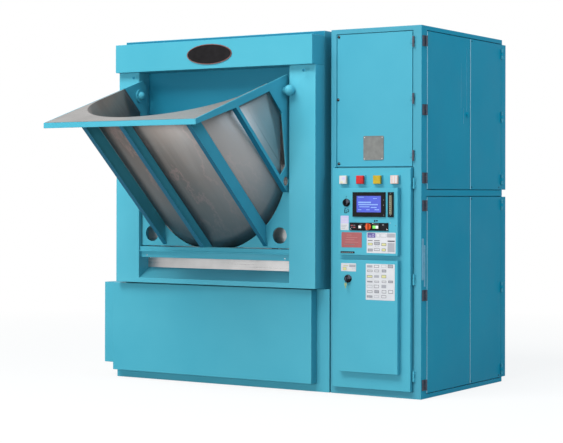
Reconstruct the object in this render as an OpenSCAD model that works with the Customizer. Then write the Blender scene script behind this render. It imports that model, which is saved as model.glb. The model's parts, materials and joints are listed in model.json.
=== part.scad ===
// Industrial tumble dryer with a tilting load chute and a control cabinet beside the drum housing.
// The origin is on the floor under the drum axis, half way back. +X is to the right, +Y to the rear.

/* [Overall] */
// Depth of the housing and cabinet, front plane to rear plane
body_d = 1120; // [1100:10:1300]
// Outer radius of the drum basket, which sets the size of the housing round it
drum_r = 640; // [600:5:680]
// Room between the air casing and the outside of the housing at each side
side_room = 70; // [64:1:90]
// Room between the base and the air casing
floor_room = 69; // [64:1:80]
// Room above the air casing for the heater
heater_room = 125; // [120:1:160]
// Thickness of the outer panels
panel_t = 3; // [2:0.5:4]

/* [Base] */
// Height of the base under the housing
base_h = 626; // [620:1:628]
// Base beyond the housing on the left
base_over_l = 71; // [40:1:100]
// Base beyond the housing on the right
base_over_r = 39; // [20:1:44]
// Thickness of the base plates
base_t = 6; // [4:1:8]
// How far the front cover stands in front of the base
cover_proud = 65; // [40:1:90]
// Underside of the front cover above the floor
cover_z = 52; // [30:1:70]
// Cover edge in from the left side of the base
cover_inset_l = 14; // [8:1:30]
// Cover edge in from the right side of the base
cover_inset_r = 90; // [60:1:110]
// Flange of the base behind the cover's edge
cover_flange = 26; // [20:1:32]

/* [Lint box and drawer] */
// Width of the lint box beyond the base
lint_box_w = 106; // [80:1:140]
// Underside of the lint box above the floor
lint_box_z = 91; // [60:1:120]
// Depth of the lint box, front to rear
lint_box_d = 760; // [740:10:900]
// Height of the drawer's underside above the floor
drawer_z = 480; // [450:1:500]
// Height of the drawer's frame
drawer_h = 40; // [30:1:50]
// Wall of the drawer's frame
drawer_t = 4; // [3:0.5:6]
// Front of the lint chamber behind the front plane
chamber_in = 180; // [160:1:200]
// Depth of the lint chamber, front to rear
chamber_d = 560; // [520:1:580]
// Length of the chamber to the right of the drum axis
chamber_r = 130; // [120:1:150]

/* [Front frame] */
// How far the columns stand in front of the housing
frame_proud = 105; // [90:1:120]
// Width of each column
column_w = 186; // [170:1:200]
// Wall of the columns and the header
frame_t = 4; // [3:0.5:6]
// Gap between the base and the frame's underside
frame_gap = 6; // [4:1:12]
// Height of the bottom rail
rail_h = 32; // [25:1:40]
// Rise of the sloping sill behind the bottom rail
sill_rise = 62; // [50:1:66]
// Height of the header
header_h = 180; // [160:1:190]
// Top of the header below the top of the housing
header_drop = 31; // [20:1:50]
// How far the header stands in front of the housing
header_proud = 145; // [130:1:160]
// Step in the left column under the header
notch_w = 24; // [15:1:35]
// Height where the left column steps in
notch_z = 1700; // [1600:10:1800]

/* [Badge] */
// Width of the oval plate
badge_w = 342; // [300:1:380]
// Height of the oval plate
badge_h = 128; // [100:1:140]
// Thickness of the oval plate
badge_t = 5; // [3:0.5:8]

/* [Mouth and ledge] */
// Lip of the drum round the mouth
mouth_lip = 95; // [90:1:110]
// Top of the stainless mouth panel above the drum axis
mouth_panel_rise = 115; // [60:5:200]
// Lower edge of the wall that covers the top of the mouth, above the drum axis
wall_rise = 320; // [300:5:340]
// Top of the ledge above the lowest point of the mouth
ledge_rise = 26; // [20:1:30]
// Height of the ledge
ledge_h = 71; // [60:1:76]
// How far the ledge's nose stands in front of the housing
ledge_fwd = 100; // [95:1:102]
// Thickness of the rubber buffers on the ledge
buffer_t = 5.2; // [4:0.1:5.2]

/* [Chute] */
// Pivot in front of the housing
pivot_fwd = 135; // [130:1:140]
// Pivot below the header
pivot_drop = 154; // [150:1:158]
// Radius of the pivot pins
pin_r = 20; // [16:1:22]
// Radius of the balls on the columns that hold the pins
ball_r = 33; // [31:0.5:36]
// Gap between the chute's side plate and the column
chute_gap = 18; // [15:1:22]
// Thickness of the side plates and ribs
chute_t = 8; // [6:1:9]
// Front edge of the rim in front of the housing
rim_fwd = 1063; // [1040:1:1090]
// Top of the rim's front edge below the pivot
rim_drop = 209; // [200:1:215]
// Slope of the rim up to the housing
rim_angle = 17.8; // [17:0.1:18.4]
// Height of the rim's front flange
rim_flange_h = 32; // [26:1:40]
// Depth of the side plate beside the rim
arm_h = 50; // [44:1:56]
// Thickness of the stainless rim plate
plate_t = 3; // [2:0.5:4]
// Scoop in from the inner face of the side plates
scoop_gap = 12; // [11:1:16]
// Thickness of the scoop sheet
scoop_t = 3; // [2:0.5:4]
// Flat of the rim plate in front of the scoop
lip_d = 78; // [60:1:100]
// Bottom of the scoop above the lowest point of the mouth
scoop_over = 7; // [5:1:12]
// Height of the scoop's straight sides
scoop_side_h = 279; // [260:1:300]
// End plane of the scoop in front of the housing
scoop_end = 70; // [66:1:72]
// Corner of the side plate above the chute's lower edge
corner_rise = 343; // [330:1:350]
// Height of the opening in the side plate behind the scoop
window_h = 319; // [300:1:325]
// Gap between the chute's lower edge and the buffers
land_gap = 0.8; // [0.6:0.1:1.8]
// Ribs to the left and right of the middle one
rib_x = 385; // [360:1:400]
// Width of a rib's flange
rib_flange_w = 30; // [20:1:36]
// Radius of the holes in the apron
apron_hole_r = 50; // [40:1:54]

/* [Drum] */
// Depth behind the drum for its bearings and pulley
drive_d = 287; // [285:1:340]
// Gap between the front wall and the drum
drum_front_gap = 30; // [24:1:36]
// Thickness of the basket sheet
drum_t = 3; // [2:0.5:4]
// Gap between the drum and the air casing round it
casing_gap = 50; // [44:1:60]
// Number of lifters in the drum
lifters = 4; // [3:1:6]
// Height of a lifter
lifter_h = 110; // [80:1:140]
// Depth of the spider arms behind the drum
spider_d = 40; // [30:1:46]
// Radius of the drum shaft
shaft_r = 45; // [35:1:50]
// Length of the bearing housing
bearing_l = 140; // [120:1:146]
// Thickness of the plate that carries the bearings
bearing_plate_t = 8; // [6:1:10]
// Radius of the drum pulley
pulley_r = 420; // [380:1:430]
// Radius of the motor pulley
motor_pulley_r = 70; // [60:1:80]
// Number of drive belts
belts = 3; // [2:1:3]
// Width of one drive belt
belt_w = 16; // [14:1:17]
// Thickness of a drive belt
belt_t = 10; // [8:1:12]
// Radius of the drive motor
motor_r = 115; // [100:1:120]

/* [Air] */
// Front of the heater box behind the front plane
heater_in = 180; // [160:5:200]
// Width of the heater box
heater_w = 660; // [600:1:700]
// Depth of the heater box, front to rear
heater_d = 560; // [500:1:600]
// Radius of the steam pipes
pipe_r = 24; // [18:1:30]
// Outer radius of the exhaust collar
collar_r = 125; // [110:1:126]
// Length of the exhaust collar
collar_l = 50; // [40:1:54]
// Radius of the blower casing
blower_r = 270; // [260:1:274]
// Width of the blower casing
blower_w = 240; // [220:1:260]
// Height of the blower shaft above the floor
blower_z = 300; // [296:1:304]
// Radius of the impeller
impeller_r = 190; // [170:1:210]

/* [Control cabinet] */
// Gap between the housing and the cabinet
cabinet_gap = 48; // [46:1:80]
// Width of the cabinet
cabinet_w = 616; // [600:1:700]
// Wall of the cabinet
cabinet_t = 4; // [3:0.5:6]
// Thickness of the doors
door_t = 22; // [18:1:26]
// Sheet of the doors
door_sheet = 4; // [3:0.5:5]
// Gap round each door
door_gap = 4; // [3:0.5:5]
// Frame to the right of the upper front door
stile_r = 57; // [54:1:70]
// Frame to the right of the lower front door
stile_lower_r = 52; // [50:1:66]
// How far the lower front door stands in front of the frame
lower_proud = 30; // [16:1:34]
// Frame to the left of the upper front door
stile_upper = 38; // [30:1:50]
// Frame to the left of the lower front door
stile_lower = 26; // [20:1:32]
// Frame under the lower front door
rail_low = 40; // [30:1:50]
// Frame above the upper front door
rail_top = 29; // [25:1:40]
// Height where the front doors meet
doors_meet = 1366; // [1340:1:1380]
// Width of the stop behind the edges of the doors
stop_w = 15; // [10:1:20]
// Sheet of the frame round the doors
jamb_t = 4; // [3:0.5:4]
// Frame in front of the side doors
post_f = 68; // [64:1:74]
// Line where the side doors meet, behind the front plane
split_in = 650; // [600:5:700]
// Mounting plate behind the front plane
plate_in = 260; // [240:5:300]
// How far the rear covers stand behind the cabinet
rear_proud = 55; // [40:1:70]
// Radius of a hinge knuckle
knuckle_r = 7; // [6:0.5:8]
// Radius of a hinge pin
hinge_pin_r = 4; // [3:0.5:4.5]
// Height of a hinge
hinge_h = 64; // [56:1:72]
// Hinge pin beside the edge of a front door
front_pin_in = 10; // [10:1:14]
// Hinge pin in front of the edge of a side door
side_pin_in = 22; // [14:1:24]
// Side latch below the top of its door
latch_drop = 469; // [400:1:520]
// Side latch in front of the line where the doors meet
latch_in = 47; // [42:1:56]

/* [Controls] */
// How far the raised panels stand in front of the door
panel_proud = 35; // [30:1:45]
// Width of the raised panels
panel_w = 404; // [396:1:430]
// Height of the control panel
control_h = 401; // [380:1:410]
// Height of the lower raised panel
lower_h = 671; // [600:1:700]
// Middle of the buttons below the top of their door
button_drop = 71; // [60:1:76]
// Distance from one button to the next
button_pitch = 116; // [100:1:118]
// Width of the touch screen's frame
screen_w = 221; // [180:1:226]
// Height of the touch screen's frame
screen_h = 147; // [120:1:160]
// Side of a square button
button_w = 50; // [44:1:54]
// Travel of a button
button_travel = 4; // [3:0.5:5]
// Radius of the round lock and key switch
lock_r = 24; // [20:1:26]

/* [Hidden] */
$fn = 96;
// Gap between solids that sit against each other on a curved face
seat = 0.3;
// Radial gap of a running fit
run_gap = 0.05;
// Overlap that makes a cut clean
cut = 1;
yf = -body_d / 2;
yr = body_d / 2;
casing_r = drum_r + casing_gap;
mouth_r = drum_r - mouth_lip;
half_w = casing_r + side_room;
axis_z = base_h + floor_room + casing_r;
body_h = axis_z + casing_r + heater_room;
header_z = body_h - header_drop - header_h;
mouth_low = axis_z - mouth_r;
mouth_panel_top = axis_z + mouth_panel_rise;
ledge_z = mouth_low + ledge_rise;
drum_l = body_d - panel_t - drum_front_gap - drive_d;
inner_w = half_w - panel_t;
base_x0 = -half_w - base_over_l;
base_x1 = half_w + base_over_r;
deck_z = base_h - base_t;
opening_w = half_w - column_w;
frame_z = base_h + frame_gap;
sill_z = frame_z + rail_h + sill_rise;
teal = [0.27, 0.62, 0.70];
steel = [0.72, 0.73, 0.73];
dark = [0.16, 0.17, 0.18];

// Axis-aligned block from its low corner to its high corner
module block(x0, x1, y0, y1, z0, z1) {
    translate([x0, y0, z0])
        cube([x1 - x0, y1 - y0, z1 - z0]);
}

// Cylinders along each axis, from one end to the other
module rod_x(x0, x1, y, z, r) {
    translate([x0, y, z])
        rotate([0, 90, 0])
            cylinder(h = x1 - x0, r = r);
}

module rod_y(y0, y1, x, z, r) {
    translate([x, y1, z])
        rotate([90, 0, 0])
            cylinder(h = y1 - y0, r = r);
}

// Outline in the YZ plane, extruded along X
module slab_x(x0, x1) {
    translate([x0, 0, 0])
        rotate([90, 0, 90])
            linear_extrude(x1 - x0)
                children();
}

// Outline in the XZ plane, extruded along Y
module slab_y(y0, y1) {
    translate([0, y1, 0])
        rotate([90, 0, 0])
            linear_extrude(y1 - y0)
                children();
}

// Open pan: a face with a return on all four sides, open towards +Y
module pan_y(x0, x1, y0, y1, z0, z1, t) {
    difference() {
        block(x0, x1, y0, y1, z0, z1);
        block(x0 + t, x1 - t, y0 + t, y1 + cut, z0 + t, z1 - t);
    }
}

// Base
chamber_y0 = yf + chamber_in;
chamber_y1 = chamber_y0 + chamber_d;
duct_x0 = -300;
duct_x1 = 100;
duct_y0 = chamber_y0 + 30;
duct_y1 = chamber_y1 - 30;
blower_y = (chamber_y0 + chamber_y1) / 2;
chamber_t = 4;
blower_x0 = chamber_r + chamber_t;
blower_x1 = blower_x0 + blower_w;
inlet_r = impeller_r - 40;
outlet_h = 260;
outlet_z1 = blower_z + blower_r;
outlet_z0 = outlet_z1 - outlet_h;
collar_z = (outlet_z0 + outlet_z1) / 2;
collar_x = (blower_x0 + blower_x1) / 2;
runner_w = 20;
drawer_side = 8;
drawer_y0 = chamber_y0 + drawer_side;
drawer_y1 = chamber_y1 - drawer_side;
drawer_front_over = 14;
drawer_front_h = 108;
drawer_front_z = drawer_z + drawer_h / 2 - drawer_front_h / 2;
drawer_x1 = chamber_r - 12;
box_x0 = base_x0 - lint_box_w;

module base_frame() {
    color(teal)
    difference() {
        union() {
            block(base_x0, base_x1, yf, yr, 0, base_t);
            block(base_x0, base_x1, yf, yr, deck_z, base_h);
            block(base_x0, base_x0 + base_t, yf, yr, 0, base_h);
            block(base_x1 - base_t, base_x1, yf, yr, 0, base_h);
            block(base_x0, base_x1, yr - base_t, yr, 0, base_h);
            difference() {
                block(base_x0, base_x1, yf, yf + base_t, 0, base_h);
                block(base_x0 + cover_inset_l + cover_flange, base_x1 - cover_inset_r - cover_flange,
                    yf - cut, yf + base_t + cut, cover_z + cover_flange, deck_z - cover_flange);
            }
        }
        block(duct_x0, duct_x1, duct_y0, duct_y1, deck_z - cut, base_h + cut);
        block(base_x0 - cut, base_x0 + base_t + cut, chamber_y0, chamber_y1,
            drawer_front_z, drawer_front_z + drawer_front_h);
        rod_y(yr - base_t - cut, yr + cut, collar_x, collar_z, collar_r - panel_t);
    }
}

// Walls of the lint chamber with the drawer's runners, and the duct that comes down to it from the air casing
module lint_chamber() {
    color(steel) {
        difference() {
            union() {
                for (y = [chamber_y0 - chamber_t, chamber_y1])
                    block(base_x0 + base_t, chamber_r, y, y + chamber_t, base_t, deck_z);
                block(chamber_r, blower_x0, chamber_y0 - chamber_t, chamber_y1 + chamber_t, base_t, deck_z);
                for (y = [chamber_y0, chamber_y1 - runner_w])
                    block(base_x0 + base_t, drawer_x1, y, y + runner_w,
                        drawer_z - seat - 10, drawer_z - seat);
            }
            rod_x(chamber_r - cut, blower_x0 + cut, blower_y, blower_z, inlet_r);
        }
        difference() {
            block(duct_x0 - panel_t, duct_x1 + panel_t, duct_y0 - panel_t, duct_y1 + panel_t, base_h, axis_z);
            block(duct_x0, duct_x1, duct_y0, duct_y1, base_h - cut, axis_z + cut);
            rod_y(duct_y0 - panel_t - cut, duct_y1 + panel_t + cut, 0, axis_z, casing_r + seat);
        }
    }
}

module base_front_cover() {
    color(teal)
    pan_y(base_x0 + cover_inset_l, base_x1 - cover_inset_r, yf - cover_proud, yf,
        cover_z, base_h - 2, panel_t);
}

module lint_box() {
    wy0 = drawer_y0 - drawer_front_over;
    wy1 = drawer_y1 + drawer_front_over;
    color(teal)
    difference() {
        block(box_x0, base_x0, yf, yf + lint_box_d, lint_box_z, deck_z);
        block(box_x0 + panel_t, base_x0 + cut, yf + panel_t, yf + lint_box_d - panel_t,
            lint_box_z + panel_t, deck_z - panel_t);
        block(box_x0 - cut, box_x0 + panel_t + cut, wy0, wy1,
            drawer_front_z, drawer_front_z + drawer_front_h);
    }
}

module lint_drawer() {
    gap = 2;
    fy0 = drawer_y0 - drawer_front_over + gap;
    fy1 = drawer_y1 + drawer_front_over - gap;
    bays = 2;
    iy0 = drawer_y0 + drawer_t;
    iy1 = drawer_y1 - drawer_t;
    z1 = drawer_z + drawer_h;
    slot_z = drawer_front_z + 66;
    mid_y = (fy0 + fy1) / 2;
    bay_l = (drawer_x1 - base_x0 - drawer_t) / bays;
    color(steel)
    union() {
        difference() {
            block(box_x0 + panel_t, drawer_x1, drawer_y0, drawer_y1, drawer_z, z1);
            block(box_x0, base_x0, iy0, iy1, drawer_z - cut, z1 + cut);
            for (i = [0 : bays - 1])
                block(base_x0 + drawer_t + i * bay_l, base_x0 + (i + 1) * bay_l, iy0, iy1,
                    drawer_z - cut, z1 + cut);
        }
        block(base_x0, drawer_x1, drawer_y0, drawer_y1, drawer_z, drawer_z + 1.5);
        difference() {
            block(box_x0, box_x0 + panel_t, fy0, fy1,
                drawer_front_z + gap, drawer_front_z + drawer_front_h - gap);
            block(box_x0 - cut, box_x0 + panel_t + cut, mid_y - 60, mid_y + 60, slot_z, slot_z + 24);
        }
    }
}

// Blower under the drum
module blower_outline(inset) {
    translate([blower_y, blower_z])
        circle(r = blower_r - inset);
    translate([blower_y, outlet_z0 + inset])
        square([yr - base_t - blower_y + (inset > 0 ? cut : 0), outlet_h - 2 * inset]);
}

module blower_casing() {
    foot_w = 120;
    color(steel)
    difference() {
        union() {
            slab_x(blower_x0, blower_x1) blower_outline(0);
            block(blower_x0, blower_x1, blower_y - foot_w / 2, blower_y + foot_w / 2, base_t, blower_z);
        }
        slab_x(blower_x0 + panel_t, blower_x1 - panel_t) blower_outline(panel_t);
        rod_x(blower_x0 - cut, blower_x0 + panel_t + cut, blower_y, blower_z, inlet_r);
        rod_x(blower_x1 - panel_t - cut, blower_x1 + cut, blower_y, blower_z, 30);
    }
}

motor_shaft_r = 19;
blower_motor_r = 115;
blower_motor_x0 = blower_x1 + 10;
blower_motor_l = 300;

module blower_motor() {
    color([0.30, 0.36, 0.42])
    difference() {
        union() {
            rod_x(blower_motor_x0, blower_motor_x0 + blower_motor_l, blower_y, blower_z, blower_motor_r);
            rod_x(blower_motor_x0 + 20, blower_motor_x0 + 30, blower_y, blower_z, blower_motor_r + 12);
            block(blower_motor_x0 + 60, blower_motor_x0 + 240, blower_y - 90, blower_y + 90,
                base_t, blower_z - 60);
            block(blower_motor_x0 + 100, blower_motor_x0 + 200, blower_y - 50, blower_y + 50,
                blower_z, blower_z + blower_motor_r + 35);
        }
        rod_x(blower_motor_x0 - cut, blower_motor_x0 + 90, blower_y, blower_z, motor_shaft_r + run_gap);
        block(blower_motor_x0 + 100, blower_motor_x0 + 200, blower_y - 91, blower_y + 91,
            base_t + 14, blower_z - 125);
    }
}

module blower_impeller() {
    x0 = blower_x0 + 16;
    x1 = blower_x1 - 70;
    blades = 16;
    color(steel)
    union() {
        rod_x(x1, x1 + 4, blower_y, blower_z, impeller_r);
        difference() {
            rod_x(x0, x0 + 3, blower_y, blower_z, impeller_r);
            rod_x(x0 - cut, x0 + 3 + cut, blower_y, blower_z, inlet_r);
        }
        for (i = [0 : blades - 1])
            translate([0, blower_y, blower_z])
                rotate([i * 360 / blades, 0, 0])
                    translate([0, 0, impeller_r - 22])
                        rotate([35, 0, 0])
                            block(x0 + 1, x1 + 1, -2, 2, -18, 18);
        rod_x(x1 - 60, x1 + 4, blower_y, blower_z, 42);
        rod_x(x1 - 66, blower_motor_x0 + 88, blower_y, blower_z, motor_shaft_r);
    }
}

module exhaust_collar() {
    flange = collar_r + 22;
    color(steel)
    difference() {
        union() {
            rod_y(yr, yr + collar_l, collar_x, collar_z, collar_r);
            block(collar_x - flange, collar_x + flange, yr, yr + panel_t,
                collar_z - flange, collar_z + flange);
        }
        rod_y(yr - cut, yr + collar_l + cut, collar_x, collar_z, collar_r - panel_t);
    }
}

// Drum housing
drum_y0 = yf + panel_t + drum_front_gap;
drum_y1 = drum_y0 + drum_l;
bearing_y = drum_y1 + spider_d + 12;
bearing_y1 = bearing_y + bearing_plate_t;
pulley_y0 = bearing_y1 + bearing_l + 5;
pulley_w = belts * (belt_w + 2) + 8;
pulley_y1 = pulley_y0 + pulley_w;
shaft_y1 = pulley_y1 + 5;
motor_x = -half_w + 160;
motor_z = base_h + 164;
top_z = body_h - panel_t;
coil_z = top_z - 62;
pipe_x = 90;
nipple_l = 40;

module housing_side_panels() {
    color(teal)
    for (side = [-1, 1])
        block(min(side * half_w, side * inner_w), max(side * half_w, side * inner_w), yf, yr, base_h, body_h);
}

module housing_top_panel() {
    pitch = 60;
    slots = floor((heater_d - 30) / pitch);
    color(teal)
    difference() {
        block(-inner_w, inner_w, yf, yr, top_z, body_h);
        for (i = [0 : slots - 1])
            block(-heater_w / 2 + 40, heater_w / 2 - 40, heater_y0 + 30 + i * pitch,
                heater_y0 + 54 + i * pitch,
                top_z - cut, body_h + cut);
    }
}

module housing_rear_cover() {
    louvres = 8;
    louvre_x = 420;
    louvre_w = 400;
    color(teal)
    difference() {
        block(-inner_w, inner_w, yr - panel_t, yr, base_h, top_z);
        for (i = [0 : louvres - 1])
            for (side = [-1, 1])
                block(side * louvre_x - louvre_w / 2, side * louvre_x + louvre_w / 2,
                    yr - panel_t - cut, yr + cut, base_h + 120 + i * 45, base_h + 135 + i * 45);
        for (side = [-1, 1])
            rod_y(yr - panel_t - cut, yr + cut, side * pipe_x, coil_z, pipe_r + 1);
    }
}

module bearing_plate() {
    color([0.45, 0.47, 0.48])
    difference() {
        block(-inner_w, inner_w, bearing_y, bearing_y1, base_h, top_z);
        rod_y(bearing_y - cut, bearing_y1 + cut, 0, axis_z, shaft_r + 5);
        rod_y(bearing_y - cut, bearing_y1 + cut, motor_x, motor_z, motor_r + 10);
        for (side = [-1, 1])
            rod_y(bearing_y - cut, bearing_y1 + cut, side * pipe_x, coil_z, pipe_r + 1);
    }
}

module front_wall() {
    color(teal)
    difference() {
        block(-inner_w, inner_w, yf, yf + panel_t, base_h, top_z);
        intersection() {
            rod_y(yf - cut, yf + panel_t + cut, 0, axis_z, mouth_r);
            block(-mouth_r, mouth_r, yf - 2 * cut, yf + panel_t + 2 * cut, base_h, axis_z + wall_rise);
        }
    }
}

module mouth_panel() {
    color(steel)
    difference() {
        block(-opening_w, opening_w, yf - panel_t, yf, sill_z + 2, mouth_panel_top);
        rod_y(yf - panel_t - cut, yf + cut, 0, axis_z, mouth_r);
    }
}

module drum_casing() {
    y0 = yf + panel_t;
    color(steel)
    difference() {
        rod_y(y0, bearing_y, 0, axis_z, casing_r);
        rod_y(y0 - cut, bearing_y + cut, 0, axis_z, casing_r - panel_t);
        block(duct_x0, duct_x1, duct_y0, duct_y1, base_h - cut, axis_z);
        block(-heater_w / 2 + 40, heater_w / 2 - 40, heater_y0 + 30, heater_y1 - 30, axis_z, top_z);
    }
}

heater_y0 = yf + heater_in;
heater_y1 = heater_y0 + heater_d;

module heater_box() {
    color(steel)
    difference() {
        block(-heater_w / 2, heater_w / 2, heater_y0, heater_y1, axis_z + casing_r - 120, top_z);
        block(-heater_w / 2 + panel_t, heater_w / 2 - panel_t, heater_y0 + panel_t, heater_y1 - panel_t,
            axis_z, top_z + cut);
        rod_y(heater_y0 - cut, heater_y1 + cut, 0, axis_z, casing_r + seat);
        for (side = [-1, 1])
            rod_y(heater_y1 - panel_t - cut, heater_y1 + cut, side * pipe_x, coil_z, pipe_r + 1);
    }
}

module heater_coil() {
    tubes = 8;
    tube_r = 11;
    coil_in = 50;
    span = heater_d - 2 * coil_in;
    end_x = heater_w / 2 - panel_t;
    y0 = heater_y0 + coil_in;
    color([0.72, 0.45, 0.30])
    union() {
        for (i = [0 : tubes - 1])
            rod_x(-end_x, end_x, y0 + (i + 0.5) * span / tubes, coil_z, tube_r);
        for (x = [-end_x, end_x - 4])
            block(x, x + 4, y0, y0 + span, coil_z - 30, coil_z + 30);
        for (i = [0 : 20])
            block(-260 + i * 26, -259 + i * 26, y0 + 6, y0 + span - 6, coil_z - 22, coil_z + 22);
        block(-pipe_x - pipe_r, pipe_x + pipe_r, y0 + span - 20, y0 + span, coil_z - pipe_r, coil_z + pipe_r);
        for (side = [-1, 1]) {
            rod_y(y0 + span - cut, yr + cut, side * pipe_x, coil_z, pipe_r - 2);
            rod_y(yr, yr + nipple_l, side * pipe_x, coil_z, pipe_r);
        }
    }
}

module drum_basket() {
    lip_r = mouth_r + 8;
    color(steel)
    union() {
        difference() {
            rod_y(drum_y0, drum_y1, 0, axis_z, drum_r);
            rod_y(drum_y0 + drum_t, drum_y1 - 2 * drum_t, 0, axis_z, drum_r - drum_t);
            rod_y(drum_y0 - cut, drum_y0 + drum_t + cut, 0, axis_z, lip_r);
        }
        difference() {
            rod_y(drum_y0 - 20, drum_y0 + drum_t, 0, axis_z, lip_r + drum_t);
            rod_y(drum_y0 - 20 - cut, drum_y0 + drum_t + cut, 0, axis_z, lip_r);
        }
    }
}

module drum_lifters() {
    base_w = 130;
    nose_w = 46;
    seat_r = drum_r - drum_t - seat;
    base_r = sqrt(seat_r * seat_r - base_w * base_w / 4);
    color(steel)
    for (i = [0 : lifters - 1])
        translate([0, 0, axis_z])
            rotate([0, 45 + i * 360 / lifters, 0])
                slab_y(drum_y0 + 20, drum_y1 - 20)
                    polygon([
                        [-base_w / 2, -base_r], [base_w / 2, -base_r],
                        [nose_w / 2, -base_r + lifter_h], [-nose_w / 2, -base_r + lifter_h]
                    ]);
}

module drum_spider() {
    arms = 6;
    arm_w = 64;
    color([0.40, 0.42, 0.44])
    difference() {
        union() {
            rod_y(drum_y1, drum_y1 + spider_d, 0, axis_z, shaft_r + 45);
            for (i = [0 : arms - 1])
                translate([0, 0, axis_z])
                    rotate([0, i * 360 / arms, 0])
                        block(-arm_w / 2, arm_w / 2, drum_y1, drum_y1 + spider_d - 8,
                            shaft_r + 10, drum_r - 14);
        }
        rod_y(drum_y1 - cut, drum_y1 + spider_d + cut, 0, axis_z, shaft_r + seat);
    }
}

module drum_shaft() {
    color([0.6, 0.6, 0.62])
    union() {
        rod_y(drum_y1, shaft_y1, 0, axis_z, shaft_r);
        rod_y(shaft_y1 - 4, shaft_y1 + 2, 0, axis_z, shaft_r - 8);
    }
}

module bearing_housing() {
    flange_over = 85;
    flange_r = shaft_r + flange_over;
    color([0.30, 0.36, 0.42])
    difference() {
        union() {
            rod_y(bearing_y1, bearing_y1 + 16, 0, axis_z, flange_r);
            rod_y(bearing_y1, bearing_y1 + bearing_l, 0, axis_z, shaft_r + 35);
            rod_y(bearing_y1 + bearing_l - 34, bearing_y1 + bearing_l, 0, axis_z, shaft_r + 46);
        }
        rod_y(bearing_y1 - cut, bearing_y1 + bearing_l + cut, 0, axis_z, shaft_r + run_gap);
        for (i = [0 : 5])
            translate([0, 0, axis_z])
                rotate([0, 30 + i * 60, 0])
                    rod_y(bearing_y1 - cut, bearing_y1 + 16 + cut, flange_r - 16, 0, 7);
    }
}

module drum_pulley() {
    rim_t = 20;
    flange = 6;
    mid = (pulley_y0 + pulley_y1) / 2;
    color([0.30, 0.36, 0.42])
    difference() {
        union() {
            rod_y(pulley_y0, pulley_y1, 0, axis_z, pulley_r);
            rod_y(pulley_y0, pulley_y0 + 3, 0, axis_z, pulley_r + flange);
            rod_y(pulley_y1 - 3, pulley_y1, 0, axis_z, pulley_r + flange);
        }
        for (ends = [[pulley_y0 - cut, mid - 8], [mid + 8, pulley_y1 + cut]])
            difference() {
                rod_y(ends[0], ends[1], 0, axis_z, pulley_r - rim_t);
                rod_y(ends[0] - cut, ends[1] + cut, 0, axis_z, shaft_r + 30);
            }
        for (i = [0 : 5])
            translate([0, 0, axis_z])
                rotate([0, i * 60, 0])
                    rod_y(mid - 9, mid + 9, (pulley_r + shaft_r) / 2, 0, 75);
        rod_y(pulley_y0 - cut, pulley_y1 + cut, 0, axis_z, shaft_r + seat);
    }
}

motor_spindle_r = 22;
spindle_l = 56;
drive_motor_y1 = pulley_y0 - 30;

module motor_pulley() {
    color([0.30, 0.36, 0.42])
    union() {
        rod_y(pulley_y0, pulley_y1, motor_x, motor_z, motor_pulley_r);
        rod_y(pulley_y0, pulley_y0 + 3, motor_x, motor_z, motor_pulley_r + 6);
        rod_y(pulley_y1 - 3, pulley_y1, motor_x, motor_z, motor_pulley_r + 6);
        rod_y(drive_motor_y1 - spindle_l, pulley_y0 + cut, motor_x, motor_z, motor_spindle_r);
    }
}

module drive_motor() {
    length = 360;
    ring_w = 16;
    foot_w = 60;
    y0 = drive_motor_y1 - length;
    ring_y = y0 + length / 2;
    color([0.30, 0.36, 0.42])
    difference() {
        union() {
            rod_y(y0, drive_motor_y1, motor_x, motor_z, motor_r);
            rod_y(ring_y, ring_y + ring_w, motor_x, motor_z, motor_r + 6);
            for (y = [y0 + 20, bearing_y1 + 12])
                block(motor_x - motor_r + 15, motor_x + motor_r - 15, y, y + foot_w,
                    base_h, motor_z - motor_r / 3);
        }
        rod_y(drive_motor_y1 - spindle_l - 2, drive_motor_y1 + cut, motor_x, motor_z,
            motor_spindle_r + run_gap);
    }
}

function arc(x, z, r, from, to, steps) =
    [for (i = [0 : steps]) let (a = from + (to - from) * i / steps) [x + r * cos(a), z + r * sin(a)]];

// Outline round two circles with straight runs between them
module loop_outline(x0, z0, r0, x1, z1, r1) {
    run = norm([x1 - x0, z1 - z0]);
    dir = atan2(z1 - z0, x1 - x0);
    tilt = acos((r0 - r1) / run);
    polygon(concat(
        arc(x0, z0, r0, dir + tilt, dir - tilt + 360, 80),
        arc(x1, z1, r1, dir - tilt, dir + tilt, 24)
    ));
}

module drum_belts() {
    inner_0 = pulley_r + seat;
    inner_1 = motor_pulley_r + seat;
    color(dark)
    for (i = [0 : belts - 1])
        slab_y(pulley_y0 + 5 + i * (belt_w + 2), pulley_y0 + 5 + i * (belt_w + 2) + belt_w)
            difference() {
                loop_outline(0, axis_z, inner_0 + belt_t, motor_x, motor_z, inner_1 + belt_t);
                loop_outline(0, axis_z, inner_0, motor_x, motor_z, inner_1);
            }
}

// Front frame, header and ledge
module hollow_column(x0, x1, z0, z1) {
    difference() {
        block(x0, x1, yf - frame_proud, yf, z0, z1);
        block(x0 + frame_t, x1 - frame_t, yf - frame_proud + frame_t, yf - frame_t, z0 - cut, z1 + cut);
    }
}

module front_frame() {
    color(teal)
    union() {
        hollow_column(opening_w, half_w, frame_z, header_z);
        hollow_column(-half_w, -opening_w, frame_z, notch_z);
        hollow_column(-half_w + notch_w, -opening_w, notch_z - frame_t, header_z);
        block(-half_w, -half_w + notch_w + frame_t, yf - frame_proud, yf, notch_z - frame_t, notch_z);
        slab_x(-opening_w - cut, opening_w + cut)
            polygon([
                [yf, frame_z], [yf - frame_proud, frame_z], [yf - frame_proud, frame_z + rail_h],
                [yf - frame_proud + 10, frame_z + rail_h], [yf - panel_t, sill_z], [yf, sill_z]
            ]);
        for (side = [0, 1])
            mirror([side, 0, 0])
                pivot_ball();
    }
}

module header_cover() {
    color(teal)
    pan_y(-half_w + notch_w, half_w, yf - header_proud, yf, header_z, header_z + header_h, frame_t);
}

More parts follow.
